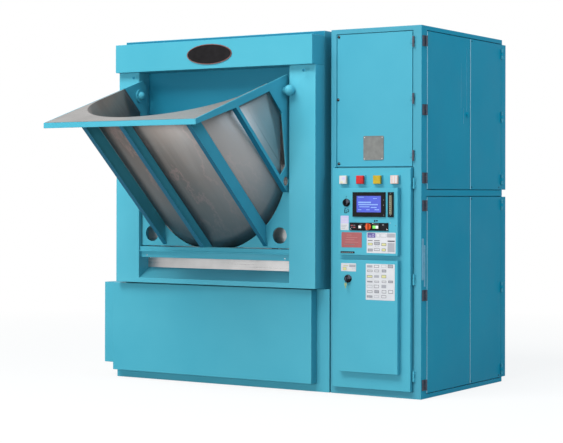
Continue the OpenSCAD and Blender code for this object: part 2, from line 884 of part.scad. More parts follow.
function oval(a, b, n) = [for (i = [0 : n - 1]) [a * cos(i * 360 / n), b * sin(i * 360 / n)]];

module badge_plate() {
    rim = 6;
    y0 = yf - header_proud;
    color(dark)
    translate([notch_w / 2 - 5, 0, header_z + header_h / 2])
        union() {
            slab_y(y0 - badge_t + 2, y0)
                polygon(oval(badge_w / 2, badge_h / 2, 72));
            slab_y(y0 - badge_t, y0)
                difference() {
                    polygon(oval(badge_w / 2, badge_h / 2, 72));
                    polygon(oval(badge_w / 2 - rim, badge_h / 2 - rim, 72));
                }
        }
}

module outlet_ledge() {
    nose_drop = 25;
    nose_t = 8;
    face_back = 20;
    z0 = ledge_z - ledge_h;
    y1 = yf - panel_t;
    yn = yf - ledge_fwd;
    color(teal)
    slab_x(-opening_w, opening_w)
        difference() {
            polygon([
                [y1, z0], [y1, ledge_z], [yn + 6, ledge_z], [yn + 6, ledge_z - nose_drop],
                [yn, ledge_z - nose_drop], [yn, ledge_z - nose_drop - nose_t],
                [yn + face_back, ledge_z - nose_drop - nose_t], [yn + face_back, z0]
            ]);
            translate([yn + face_back + frame_t, z0 + frame_t])
                square([y1 - yn - face_back - 2 * frame_t, ledge_h - 2 * frame_t]);
        }
}

module ledge_buffers() {
    y0 = yf - apron_f - apron_t / 2;
    x0 = opening_w - 144;
    color(dark)
    for (side = [0, 1])
        mirror([side, 0, 0])
            block(x0, x0 + 40, y0, y0 + 16, ledge_z, ledge_z + buffer_t);
}

// Chute. A length f is measured forwards from the housing's front plane.
pivot_z = header_z - pivot_drop;
rim_z = pivot_z - rim_drop;
rim_rise = tan(rim_angle);
side_x1 = opening_w - chute_gap;
side_x0 = side_x1 - chute_t;
scoop_r = side_x0 - scoop_gap;
scoop_axis_z = mouth_low + scoop_over + scoop_r;
scoop_edge_z = scoop_axis_z + scoop_side_h;
scoop_front = rim_fwd - lip_d;
rise = (rim_z + lip_d * rim_rise - mouth_low - scoop_over) / (scoop_front - scoop_end);
chute_low = ledge_z + buffer_t + land_gap;
apron_f = 75;
apron_t = 6;
corner_f = 98;
corner_z = chute_low + corner_rise;
strip_h = 34;
side_back = 62;
window_f = side_back + 50;
window_low = corner_z + 162;
window_high = window_low + window_h;
window_slant = 48;
window_top_f = pivot_fwd + 164;
corner_hole_r = 28;
rim_flange_t = 6;
apron_hole_x = opening_w - 86;
apron_hole_z = chute_low + 78;

function rim_top(f) = rim_z + (rim_fwd - f) * rim_rise;
function on_scoop(zp, f) = zp + (f - scoop_end) * rise;
function scoop_at_rim(zp) = (rim_z + rim_fwd * rim_rise - zp + scoop_end * rise) / (rise + rim_rise);
function low_edge(f) = corner_z + (f - corner_f) * rise;
function meet_f(above, below) =
    (rim_z + rim_fwd * rim_rise - below - corner_z + corner_f * rise - above) / (rise + rim_rise);

module side_outline() {
    arm_f = meet_f(0, arm_h);
    inner_f = meet_f(strip_h, arm_h);
    difference() {
        polygon([
            [yf - rim_fwd, rim_z], [yf - rim_fwd, rim_z - rim_flange_h],
            [yf - arm_f, rim_top(arm_f) - arm_h], [yf - corner_f, corner_z],
            [yf - side_back, corner_z], [yf - side_back, rim_top(side_back) - 45],
            [yf - side_back - 38, rim_top(side_back + 38)]
        ]);
        polygon([
            [yf - inner_f, rim_top(inner_f) - arm_h], [yf - window_top_f, rim_top(window_top_f) - arm_h],
            [yf - window_f - window_slant, window_high], [yf - window_f, window_low],
            [yf - window_f - 64, low_edge(window_f + 64) + strip_h]
        ]);
        translate([yf - window_f, corner_z + corner_hole_r + 40]) circle(r = corner_hole_r);
        translate([yf - pivot_fwd, pivot_z]) circle(r = pin_r + seat);
    }
}

module chute_frame() {
    arm_f = meet_f(0, arm_h);
    color(teal)
    union() {
        for (side = [0, 1])
            mirror([side, 0, 0]) {
                slab_x(side_x0, side_x1) side_outline();
                slab_x(side_x0 - 29, side_x0 + cut)
                    polygon([
                        [yf - corner_f, corner_z], [yf - arm_f, low_edge(arm_f)],
                        [yf - arm_f, low_edge(arm_f) + 8], [yf - corner_f, corner_z + 8]
                    ]);
            }
        block(-side_x1, side_x1, yf - rim_fwd, yf - rim_fwd + rim_flange_t, rim_z - rim_flange_h, rim_z);
        difference() {
            block(-opening_w + 8, opening_w - 8, yf - apron_f - apron_t / 2, yf - apron_f + apron_t / 2,
                chute_low, corner_z + 10);
            rod_y(yf - 2 * apron_f, yf, 0, on_scoop(scoop_axis_z, apron_f), scoop_r + 4);
            for (side = [-1, 1])
                rod_y(yf - 2 * apron_f, yf, side * apron_hole_x, apron_hole_z, apron_hole_r);
        }
    }
}

module rib_web(x, drop, t) {
    top_zp = scoop_axis_z - sqrt(pow(scoop_r, 2) - pow(max(0, x - chute_t / 2), 2)) - 2 * seat;
    low_zp = top_zp - drop;
    f0 = scoop_end;
    f1 = rim_fwd + 100;
    f_front = rim_fwd - rim_flange_t - seat;
    f_back = apron_f + apron_t / 2 + seat;
    under = plate_t + 2 * seat;
    intersection() {
        polygon([
            [yf - f0, on_scoop(top_zp, f0)], [yf - f1, on_scoop(top_zp, f1)],
            [yf - f1, on_scoop(low_zp, f1)], [yf - f0, on_scoop(low_zp, f0)]
        ]);
        polygon([
            [yf - f_back, chute_low], [yf - f_front, chute_low],
            [yf - f_front, rim_top(f_front) - under], [yf - f_back, rim_top(f_back) - under]
        ]);
        if (t > 0)
            polygon([
                [yf - f0, on_scoop(low_zp, f0)], [yf - f1, on_scoop(low_zp, f1)],
                [yf - f1, on_scoop(low_zp, f1) + t], [yf - f0, on_scoop(low_zp, f0) + t]
            ]);
    }
}

module chute_ribs() {
    color(teal)
    for (rib = [[-rib_x, 131], [0, 96], [rib_x, 131]]) {
        slab_x(rib[0] - chute_t / 2, rib[0] + chute_t / 2) rib_web(abs(rib[0]), rib[1], 0);
        slab_x(rib[0] - rib_flange_w / 2, rib[0] + rib_flange_w / 2) rib_web(abs(rib[0]), rib[1], 8);
    }
}

// Points of the scoop's section, from the left edge round the bottom to the right edge
scoop_steps = 48;
function scoop_section(r) = concat(
    [[-r, scoop_edge_z]],
    [for (i = [0 : scoop_steps])
        let (a = -90 + i * 180 / scoop_steps)
        [r * sin(a), scoop_axis_z - r * cos(a)]],
    [[r, scoop_edge_z]]
);

// End of the scoop for a point of its section: at the apron low down, further forward at the sides
function end_f(zp) =
    zp < chute_low ? scoop_end + 2 + (chute_low - zp) / rise :
    zp < corner_z ? scoop_end + 2 : min(147, scoop_end + 2 + (zp - corner_z) * 0.65);

module chute_scoop() {
    outer = scoop_section(scoop_r);
    inner = scoop_section(scoop_r - scoop_t);
    n = len(outer);
    below = seat;
    ring = function (list, front) [
        for (p = list)
            let (f = front ? scoop_at_rim(p[1] + below) : end_f(p[1]))
            [p[0], yf - f, on_scoop(p[1], f)]
    ];
    points = concat(ring(outer, false), ring(outer, true), ring(inner, false), ring(inner, true));
    quads = concat(
        [for (i = [0 : n - 2]) [i, i + 1, n + i + 1, n + i]],
        [for (i = [0 : n - 2]) [2 * n + i, 3 * n + i, 3 * n + i + 1, 2 * n + i + 1]],
        [for (i = [0 : n - 2]) [i, 2 * n + i, 2 * n + i + 1, i + 1]],
        [for (i = [0 : n - 2]) [n + i, n + i + 1, 3 * n + i + 1, 3 * n + i]],
        [[0, n, 3 * n, 2 * n], [n - 1, 3 * n - 1, 4 * n - 1, 2 * n - 1]]
    );
    faces = [for (q = quads) each [[q[0], q[1], q[2]], [q[0], q[2], q[3]]]];
    color(steel)
    polyhedron(points = points, faces = faces);
}

// Stainless plate on the rim, cut out along the scoop
module chute_plate() {
    r = scoop_r + 2 * seat;
    x1 = side_x0 - seat;
    v0 = rim_flange_t / cos(rim_angle) + seat;
    v1 = (rim_fwd - scoop_at_rim(scoop_edge_z)) / cos(rim_angle);
    bend = [for (i = [scoop_steps : -1 : 0])
        let (a = -90 + i * 180 / scoop_steps, f = scoop_at_rim(scoop_axis_z - r * cos(a)))
        [r * sin(a), (rim_fwd - f) / cos(rim_angle)]
    ];
    color(steel)
    translate([0, yf - rim_fwd, rim_z])
        rotate([rim_angle, 0, 0])
            translate([0, 0, -plate_t])
                linear_extrude(plate_t)
                    polygon(concat([[-x1, v1], [-x1, v0], [x1, v0], [x1, v1], [r, v1]], bend, [[-r, v1]]));
}

pivot_y = yf - pivot_fwd;
ball_x0 = opening_w + 4;
pin_x1 = ball_x0 + ball_r - 2;

// Pin through each side plate, on a hub that ends in a dome inside the chute
module chute_pivots() {
    hub_t = 12;
    hub_r = pin_r + 22;
    dome_r = pin_r + 7;
    color(teal)
    for (side = [0, 1])
        mirror([side, 0, 0])
            union() {
                rod_x(side_x0 - hub_t, side_x0, pivot_y, pivot_z, hub_r);
                rod_x(side_x0 - hub_t, pin_x1, pivot_y, pivot_z, pin_r);
                intersection() {
                    translate([side_x0 - hub_t, pivot_y, pivot_z])
                        sphere(r = dome_r);
                    block(side_x0 - hub_t - dome_r - cut, side_x0 - hub_t + cut, pivot_y - dome_r - cut,
                        pivot_y + dome_r + cut, pivot_z - dome_r - cut, pivot_z + dome_r + cut);
                }
            }
}

// Ball with a blind bore, welded to the front of the right column
module pivot_ball() {
    column_y = yf - frame_proud;
    difference() {
        intersection() {
            translate([ball_x0 + 13, pivot_y, pivot_z])
                sphere(r = ball_r);
            block(ball_x0, ball_x0 + 2 * ball_r, pivot_y - ball_r - cut, column_y + frame_t / 2,
                pivot_z - ball_r - cut, pivot_z + ball_r + cut);
        }
        rod_x(ball_x0 - cut, pin_x1 + 2, pivot_y, pivot_z, pin_r + run_gap);
    }
}

// Control cabinet
cx0 = half_w + cabinet_gap;
cx1 = cx0 + cabinet_w;
upper_x0 = cx0 + stile_upper + door_gap;
upper_x1 = cx1 - stile_r - door_gap;
lower_x0 = cx0 + stile_lower + door_gap;
lower_x1 = cx1 - stile_lower_r - door_gap;
lower_y = yf - lower_proud;
upper_z0 = doors_meet + door_gap;
upper_z1 = body_h - rail_top - door_gap;
lower_z0 = rail_low + door_gap;
lower_z1 = doors_meet - door_gap;
stop_y = yf + door_t + 2;
stop_x = cx1 - door_t - 2;
frame_depth = 40;
post_r = 15;
leaf_y0 = yf + post_f + 2;
leaf_y3 = yr - post_r - 2;
leaf_mid = yf + split_in;
leaf_y1 = leaf_mid - 2;
leaf_y2 = leaf_mid + 2;
side_top = [1235, body_h - 30];
side_low = [30, 1190];
pin_out = knuckle_r + 1;
front_hinge_y = yf - pin_out;
side_hinge_x = cx1 + pin_out;
front_leaf_y = leaf_y0 - 2;
rear_leaf_y = leaf_y3 + 2;
side_hinge_y = leaf_y0 - side_pin_in;
hinge_leaf = 12;
post_leaf = side_hinge_y - yf - 8;
upper_hinges = [upper_z0 + 31, (upper_z0 + upper_z1) / 2 - hinge_h / 2, upper_z1 - 31 - hinge_h];
lower_hinges = [lower_z0 + 60, (lower_z0 + lower_z1) / 2 - hinge_h / 2, lower_z1 - 60 - hinge_h];
side_top_hinges = [side_top[0] + 34,
    (side_top[0] + side_top[1]) / 2 - hinge_h / 2, side_top[1] - 30 - hinge_h];
side_low_hinges = [side_low[0] + 20,
    (side_low[0] + side_low[1]) / 2 - hinge_h / 2, side_low[1] - 20 - hinge_h];

// Box section round a front door, and what is cut from it: the door's place and a way through the stop
module front_jamb(x0, x1, z0, z1) {
    out = door_gap + jamb_t;
    block(x0 - out, x1 + out, yf, yf + frame_depth, z0 - out, z1 + out);
}

module front_cut(x0, x1, z0, z1) {
    in = stop_w - door_gap;
    block(x0 - door_gap, x1 + door_gap, yf - cut, stop_y, z0 - door_gap, z1 + door_gap);
    block(x0 + in, x1 - in, yf - cut, yf + frame_depth + cut, z0 + in, z1 - in);
    block(x0 - door_gap, x1 + door_gap, stop_y + jamb_t, yf + frame_depth + cut, z0 + in, z1 - in);
}

// The same round a pair of side doors
module side_jamb(z0, z1) {
    out = door_gap + jamb_t;
    block(cx1 - frame_depth, cx1, front_leaf_y - jamb_t, rear_leaf_y + jamb_t, z0 - out, z1 + out);
}

module side_cut(z0, z1) {
    in = stop_w - door_gap;
    block(stop_x, cx1 + cut, front_leaf_y, rear_leaf_y, z0 - door_gap, z1 + door_gap);
    block(cx1 - frame_depth - cut, cx1 + cut, front_leaf_y + stop_w, rear_leaf_y - stop_w, z0 + in, z1 - in);
    block(cx1 - frame_depth - cut, stop_x - jamb_t, front_leaf_y, rear_leaf_y, z0 + in, z1 - in);
}

module cabinet_frame() {
    tie_r = 15;
    tie_y = yr - 160;
    color(teal)
    difference() {
        union() {
            difference() {
                block(cx0, cx1, yf, yr, 0, body_h);
                block(cx0 + cabinet_t, cx1 - cabinet_t, yf + cabinet_t, yr - cabinet_t,
                    base_t, body_h - base_t);
            }
            front_jamb(upper_x0, upper_x1, upper_z0, upper_z1);
            front_jamb(lower_x0, lower_x1, lower_z0, lower_z1);
            side_jamb(side_top[0], side_top[1]);
            side_jamb(side_low[0], side_low[1]);
            for (y = [-tie_y, tie_y]) {
                rod_x(base_x1, cx0 + cut, y, base_h / 2, tie_r);
                rod_x(half_w, cx0 + cut, y, header_z, tie_r);
            }
        }
        front_cut(upper_x0, upper_x1, upper_z0, upper_z1);
        front_cut(lower_x0, lower_x1, lower_z0, lower_z1);
        side_cut(side_top[0], side_top[1]);
        side_cut(side_low[0], side_low[1]);
        for (span = [side_top, side_low])
            block(cx0 + 30, cx1 - frame_depth - 10, yr - cabinet_t - cut, yr + cut,
                span[0] + 30, span[1] - 30);
    }
}

module rear_covers() {
    color(teal)
    for (span = [side_top, side_low])
        difference() {
            block(cx0 + cabinet_t, cx1, yr, yr + rear_proud, span[0], span[1]);
            block(cx0 + cabinet_t + panel_t, cx1 - panel_t, yr - cut, yr + rear_proud - panel_t,
                span[0] + panel_t, span[1] - panel_t);
        }
}

// Hinge at the origin with its pin along Z: the frame's half has the outer knuckles, the pin and a leaf to +X
module hinge_fixed(leaf) {
    third = hinge_h / 3;
    for (z = [0, 2 * third])
        translate([0, 0, z])
            cylinder(h = third, r = knuckle_r);
    cylinder(h = hinge_h, r = hinge_pin_r);
    for (z = [0, 2 * third])
        block(0, leaf, pin_out - 3, pin_out, z, z + third);
    block(knuckle_r + 1.5, leaf, pin_out - 3, pin_out, 0, hinge_h);
}

// The door's half has the middle knuckle and a leaf to -X, clear of the frame as far as the door's edge
module hinge_moving(edge, over) {
    third = hinge_h / 3;
    leaf = edge + over;
    difference() {
        union() {
            translate([0, 0, third + 0.5])
                cylinder(h = third - 1, r = knuckle_r);
            block(-leaf, 0, pin_out - 3, pin_out - seat, third + 0.5, 2 * third - 0.5);
            block(-leaf, -edge, pin_out - 3, pin_out, third + 0.5, 2 * third - 0.5);
        }
        translate([0, 0, third])
            cylinder(h = third, r = hinge_pin_r + run_gap);
    }
}

module door_hinges() {
    color([0.32, 0.33, 0.36]) {
        for (z = upper_hinges)
            translate([upper_x1 + front_pin_in, front_hinge_y, z])
                hinge_fixed(hinge_leaf);
        for (z = lower_hinges)
            translate([lower_x1 + front_pin_in, front_hinge_y, z])
                hinge_fixed(hinge_leaf);
        for (z = concat(side_top_hinges, side_low_hinges)) {
            translate([side_hinge_x, side_hinge_y, z])
                mirror([0, 1, 0])
                    rotate([0, 0, 90])
                        hinge_fixed(post_leaf);
            translate([side_hinge_x, rear_leaf_y, z])
                rotate([0, 0, 90])
                    hinge_fixed(hinge_leaf);
        }
    }
}

// Front door as a pan, by its sides, its face, its lower and upper edge and its hinges
module front_door(x0, x1, y0, z0, z1, hinges) {
    union() {
        pan_y(x0, x1, y0, yf + door_t, z0, z1, door_sheet);
        for (z = hinges)
            translate([x1 + front_pin_in, front_hinge_y, z])
                hinge_moving(front_pin_in, y0 < yf ? door_sheet : hinge_leaf);
    }
}

module upper_door() {
    color(teal)
    front_door(upper_x0, upper_x1, yf, upper_z0, upper_z1, upper_hinges);
}

button_z = lower_z1 - button_drop;
button_mid_x = (lower_x0 + lower_x1) / 2 - 5;
button_x = [for (i = [-1.5 : 1 : 1.5]) button_mid_x + i * button_pitch];
stem_w = 24;
collar_w = button_w + 6;
collar_h = 8;

module lower_door() {
    color(teal)
    difference() {
        union() {
            front_door(lower_x0, lower_x1, lower_y, lower_z0, lower_z1, lower_hinges);
            for (x = button_x)
                block(x - collar_w / 2, x + collar_w / 2, lower_y - collar_h, lower_y + cut,
                    button_z - collar_w / 2, button_z + collar_w / 2);
        }
        for (x = button_x)
            block(x - stem_w / 2 - 0.5, x + stem_w / 2 + 0.5, lower_y - collar_h - cut,
                lower_y + door_sheet + cut, button_z - stem_w / 2 - 0.5, button_z + stem_w / 2 + 0.5);
        rod_y(lower_y - cut, lower_y + door_sheet + cut, key_x, key_z, stem_r + 1);
        rod_y(lower_y - cut, lower_y + door_sheet + cut, rotary_x, rotary_z, stem_r + 1);
        rod_y(lower_y - cut, lower_y + door_sheet + cut, lock_x, lock_z, stem_r + 1);
    }
}

module square_button(x, tint) {
    y1 = lower_y - collar_h - button_travel - 1;
    color(tint)
    union() {
        block(x - button_w / 2, x + button_w / 2, y1 - 16, y1,
            button_z - button_w / 2, button_z + button_w / 2);
        block(x - stem_w / 2, x + stem_w / 2, y1 - cut, lower_y + 12,
            button_z - stem_w / 2, button_z + stem_w / 2);
    }
}

// Raised panels and what is on them
panel_x1 = lower_x1 - 67;
panel_x0 = panel_x1 - panel_w;
panel_y = lower_y - panel_proud;
control_z1 = lower_z1 - 119;
control_z0 = control_z1 - control_h;
lower_panel_z1 = control_z0 - 28;
screen_x0 = panel_x0 + 103;
screen_z1 = control_z1 - 26;
strip_x0 = screen_x0 + screen_w + 17;
strip_w = 38;
bezel_t = 8;
key_x = panel_x0 + 58;
key_z = control_z1 - 89;
rotary_x = screen_x0 + 109;
rotary_z = control_z1 - 231;
lock_x = panel_x0 + 70;
lock_z = lower_panel_z1 - 114;
stem_r = 6;
bar_t = 6;
bar_w = 262;
bar_h = 47;

module control_panel() {
    color(teal)
    difference() {
        pan_y(panel_x0, panel_x1, panel_y, lower_y, control_z0, control_z1, panel_t);
        rod_y(panel_y - cut, panel_y + panel_t + cut, key_x, key_z, stem_r + run_gap);
        rod_y(panel_y - cut, panel_y + panel_t + cut, rotary_x, rotary_z, stem_r + 1);
    }
}

module lower_panel() {
    color(teal)
    difference() {
        pan_y(panel_x0, panel_x1, panel_y, lower_y, lower_panel_z1 - lower_h, lower_panel_z1, panel_t);
        rod_y(panel_y - cut, panel_y + panel_t + cut, lock_x, lock_z, stem_r + run_gap);
    }
}

// Frame of a display with its glass set back, by its left edge and width
module bezel(x0, w, side, low, high) {
    difference() {
        block(x0, x0 + w, panel_y - bezel_t, panel_y, screen_z1 - screen_h, screen_z1);
        block(x0 + side, x0 + w - side, panel_y - bezel_t - cut, panel_y - bezel_t + 2,
            screen_z1 - screen_h + low, screen_z1 - high);
    }
}

module displays() {
    color(dark) {
        bezel(screen_x0, screen_w, 28, 27, 22);
        bezel(strip_x0, strip_w, 10, 15, 17);
    }
}

module switch_bar() {
    color(dark)
    difference() {
        union() {
            block(rotary_x - bar_w / 2, rotary_x + bar_w / 2, panel_y - bar_t, panel_y,
                rotary_z - bar_h / 2, rotary_z + bar_h / 2);
            block(rotary_x - 69, rotary_x - 47, panel_y - bar_t - 2, panel_y - bar_t + cut,
                rotary_z - 12, rotary_z + 8);
            block(rotary_x + 27, rotary_x + 69, panel_y - bar_t - 2, panel_y - bar_t + cut,
                rotary_z - 14, rotary_z + 14);
        }
        rod_y(panel_y - bar_t - cut, panel_y + cut, rotary_x, rotary_z, stem_r + run_gap);
    }
}

module rotary_switch() {
    y1 = panel_y - bar_t - seat;
    color([0.90, 0.35, 0.12])
    union() {
        rod_y(y1 - 8, y1, rotary_x, rotary_z, 19);
        block(rotary_x - 6, rotary_x + 6, y1 - 24, y1 - 7, rotary_z - 19, rotary_z + 19);
        rod_y(y1 - 2, lower_y + 10, rotary_x, rotary_z, stem_r);
    }
}

module key_switch() {
    y1 = panel_y - seat;
    color(dark)
    union() {
        rod_y(y1 - 14, y1, key_x, key_z, lock_r);
        block(key_x - 2, key_x + 2, y1 - 32, y1 - 13, key_z - 12, key_z + 12);
        rod_y(y1 - 2, lower_y + 10, key_x, key_z, stem_r);
    }
}

module door_lock() {
    y1 = panel_y - seat;
    color(dark)
    union() {
        rod_y(y1 - 14, y1, lock_x, lock_z, lock_r);
        block(lock_x - 2, lock_x + 2, y1 - 34, y1 - 13, lock_z - 14, lock_z + 14);
        rod_y(y1 - 2, lower_y + 10, lock_x, lock_z, stem_r);
    }
}

// Side doors: a front leaf hinged at the front post and a rear leaf hinged at the rear post
module side_leaf(y0, y1, z0, z1) {
    difference() {
        block(cx1 - door_t, cx1, y0, y1, z0, z1);
        block(cx1 - door_t - cut, cx1 - door_sheet, y0 + door_sheet, y1 - door_sheet,
            z0 + door_sheet, z1 - door_sheet);
    }
}

module front_side_door(span, hinges) {
    color(teal)
    union() {
        side_leaf(leaf_y0, leaf_y1, span[0], span[1]);
        for (z = hinges)
            translate([side_hinge_x, side_hinge_y, z])
                mirror([0, 1, 0])
                    rotate([0, 0, 90])
                        hinge_moving(side_pin_in, hinge_leaf);
    }
}

module rear_side_door(span, hinges) {
    color(teal)
    union() {
        side_leaf(leaf_y2, leaf_y3, span[0], span[1]);
        for (z = hinges)
            translate([side_hinge_x, rear_leaf_y, z])
                rotate([0, 0, 90])
                    hinge_moving(rear_leaf_y - leaf_y3, hinge_leaf);
    }
}

latch_y = leaf_mid - latch_in;
latch_z = side_top[1] - latch_drop;

module side_upper_front_door() {
    difference() {
        front_side_door(side_top, side_top_hinges);
        rod_x(cx1 - door_t, cx1 + cut, latch_y, latch_z, stem_r + run_gap);
    }
}

module side_upper_rear_door() {
    rear_side_door(side_top, side_top_hinges);
}

module side_lower_front_door() {
    front_side_door(side_low, side_low_hinges);
}

module side_lower_rear_door() {
    rear_side_door(side_low, side_low_hinges);
}

// Quarter-turn latch, shown open. Turned, its cam reaches behind the edge of the rear door.
module side_latch() {
    cam_x = cx1 - door_t - 8;
    color(dark)
    union() {
        rod_x(cx1 + seat, cx1 + 8, latch_y, latch_z, 13);
        block(cx1 + 7, cx1 + 14, latch_y - 5, latch_y + 5, latch_z - 24, latch_z + 12);
        rod_x(cam_x, cx1 + cut, latch_y, latch_z, stem_r);
        block(cam_x, cam_x + 4, latch_y - 9, latch_y + 9, latch_z - 66, latch_z + 9);
    }
}

// Electrical gear behind the upper front door
plate_y = yf + plate_in;
plate_x1 = cx1 - frame_depth - 20;

module mounting_plate() {
    color([0.80, 0.78, 0.70])
    block(cx0 + cabinet_t, plate_x1, plate_y, plate_y + panel_t, upper_z0 + 30, upper_z1 - 40);
}

module electrics() {
    unit_w = 62;
    unit_h = 90;
    unit_d = 70;
    pitch = unit_w + 8;
    x0 = cx0 + cabinet_t + 46;
    z0 = upper_z0 + 120;
    row_rise = (upper_z1 - 187 - unit_h - z0) / 2;
    per_row = floor((plate_x1 - x0) / pitch);
    color([0.25, 0.26, 0.28])
    for (row = [0 : 2])
        for (i = [0 : per_row - 1])
            block(x0 + i * pitch, x0 + i * pitch + unit_w, plate_y - unit_d, plate_y,
                z0 + row * row_rise, z0 + row * row_rise + unit_h);
}

module white_button() {
    square_button(button_x[0], [0.88, 0.86, 0.78]);
}

module red_button() {
    square_button(button_x[1], [0.80, 0.12, 0.12]);
}

module yellow_button() {
    square_button(button_x[2], [0.85, 0.68, 0.15]);
}

module cream_button() {
    square_button(button_x[3], [0.90, 0.82, 0.76]);
}

base_frame();
base_front_cover();
lint_box();
housing_side_panels();
housing_top_panel();
housing_rear_cover();
bearing_plate();
front_wall();
mouth_panel();
front_frame();
header_cover();
badge_plate();
outlet_ledge();
ledge_buffers();
drum_casing();
lint_chamber();
heater_box();
heater_coil();
blower_casing();
blower_motor();
exhaust_collar();
drive_motor();
drum_belts();
bearing_housing();
cabinet_frame();
rear_covers();
mounting_plate();
electrics();
door_hinges();
drum_basket();
drum_lifters();
drum_spider();
drum_shaft();
drum_pulley();
motor_pulley();
blower_impeller();
lint_drawer();
chute_frame();
chute_ribs();
chute_plate();
chute_scoop();
chute_pivots();
upper_door();
lower_door();
control_panel();
lower_panel();
displays();
switch_bar();
rotary_switch();
key_switch();
door_lock();
white_button();
red_button();
yellow_button();
cream_button();
side_upper_front_door();
side_upper_rear_door();
side_lower_front_door();
side_lower_rear_door();
side_latch();
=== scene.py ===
"""Looks of an industrial tumble dryer: teal enamel, a stainless tilting chute and a control cabinet."""

import json
import math

import bmesh
import bpy
from mathutils import Matrix, Vector


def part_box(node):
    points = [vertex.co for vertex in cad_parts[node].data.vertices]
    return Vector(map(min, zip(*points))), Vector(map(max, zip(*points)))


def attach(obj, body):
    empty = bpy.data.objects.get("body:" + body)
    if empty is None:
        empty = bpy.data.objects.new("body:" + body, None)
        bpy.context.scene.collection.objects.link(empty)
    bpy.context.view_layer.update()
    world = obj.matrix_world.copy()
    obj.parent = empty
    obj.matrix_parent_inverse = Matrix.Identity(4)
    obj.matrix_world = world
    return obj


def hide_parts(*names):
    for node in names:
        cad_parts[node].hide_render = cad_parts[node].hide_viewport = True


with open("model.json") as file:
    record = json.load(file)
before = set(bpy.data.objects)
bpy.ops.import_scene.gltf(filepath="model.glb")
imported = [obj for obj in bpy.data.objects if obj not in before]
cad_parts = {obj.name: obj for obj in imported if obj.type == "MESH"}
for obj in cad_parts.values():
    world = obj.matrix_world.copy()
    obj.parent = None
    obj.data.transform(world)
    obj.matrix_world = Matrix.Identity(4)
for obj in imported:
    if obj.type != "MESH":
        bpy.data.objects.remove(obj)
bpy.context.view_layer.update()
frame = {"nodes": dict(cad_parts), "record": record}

MM = 0.001
WELD = 1e-6
QUARTER_TURN = math.radians(90)
FULL_TURN = math.radians(360)

# Camera, found from the photograph's perspective
PHOTO_WIDTH = 563
PHOTO_HEIGHT = 443
FOCAL_PIXELS = 1617.35
AXIS_ROW = 189.66
CAMERA_PLACE = Vector((5.8178, -9.0043, 1.2065))
CAMERA_YAW = math.radians(32.4344)
CAMERA_PITCH = math.radians(0.1447)
CAMERA_ROLL = math.radians(0.1086)
SENSOR = 36.0
FAR_LIMIT = 100.0


def aim_camera():
    """Level camera with the vertical shift that keeps the object's upright edges parallel."""
    view = Vector((-math.sin(CAMERA_YAW) * math.cos(CAMERA_PITCH),
                   math.cos(CAMERA_YAW) * math.cos(CAMERA_PITCH), math.sin(CAMERA_PITCH)))
    right = Vector((math.cos(CAMERA_YAW), math.sin(CAMERA_YAW), 0.0))
    up = right.cross(view)
    tilted_right = right * math.cos(CAMERA_ROLL) + up * math.sin(CAMERA_ROLL)
    tilted_up = up * math.cos(CAMERA_ROLL) - right * math.sin(CAMERA_ROLL)
    data = bpy.data.cameras.new("camera")
    data.sensor_width = SENSOR
    data.lens = SENSOR * FOCAL_PIXELS / PHOTO_WIDTH
    data.shift_y = (AXIS_ROW - PHOTO_HEIGHT / 2) / PHOTO_WIDTH
    data.clip_end = FAR_LIMIT
    camera = bpy.data.objects.new("camera", data)
    bpy.context.scene.collection.objects.link(camera)
    turn = Matrix((tilted_right, tilted_up, -view)).transposed()
    camera.matrix_world = Matrix.Translation(CAMERA_PLACE) @ turn.to_4x4()
    bpy.context.scene.camera = camera


def area_light(name, place, target, width, height, watts, tint):
    data = bpy.data.lights.new(name, "AREA")
    data.shape = "RECTANGLE"
    data.size = width
    data.size_y = height
    data.energy = watts
    data.color = tint
    light = bpy.data.objects.new(name, data)
    light.location = place
    light.rotation_euler = (Vector(target) - Vector(place)).to_track_quat("-Z", "Y").to_euler()
    bpy.context.scene.collection.objects.link(light)


class Wiring:
    """A node tree, with short calls for its nodes and wires."""

    def __init__(self, tree):
        self.tree = tree

    def node(self, kind, inputs=None, **settings):
        made = self.tree.nodes.new("ShaderNode" + kind)
        for key, value in settings.items():
            setattr(made, key, value)
        for key, value in (inputs or {}).items():
            if isinstance(value, bpy.types.NodeSocket):
                self.tree.links.new(value, made.inputs[key])
            else:
                made.inputs[key].default_value = value
        return made

    def math(self, operation, *values):
        return self.node("Math", dict(enumerate(values)), operation=operation).outputs[0]

    def seen_rays(self):
        """1 for camera, glossy and transmission rays, and 0 for the rays that light the object."""
        path = self.node("LightPath")
        seen = path.outputs["Is Camera Ray"]
        for ray in ("Is Glossy Ray", "Is Transmission Ray"):
            seen = self.math("MAXIMUM", seen, path.outputs[ray])
        return seen

    def finish_with(self, output, share, first, second):
        """Two shaders mixed by a share, wired to the tree's output."""
        mixed = self.node("MixShader", {0: share, 1: first, 2: second})
        self.tree.links.new(mixed.outputs[0], self.tree.nodes[output].inputs["Surface"])


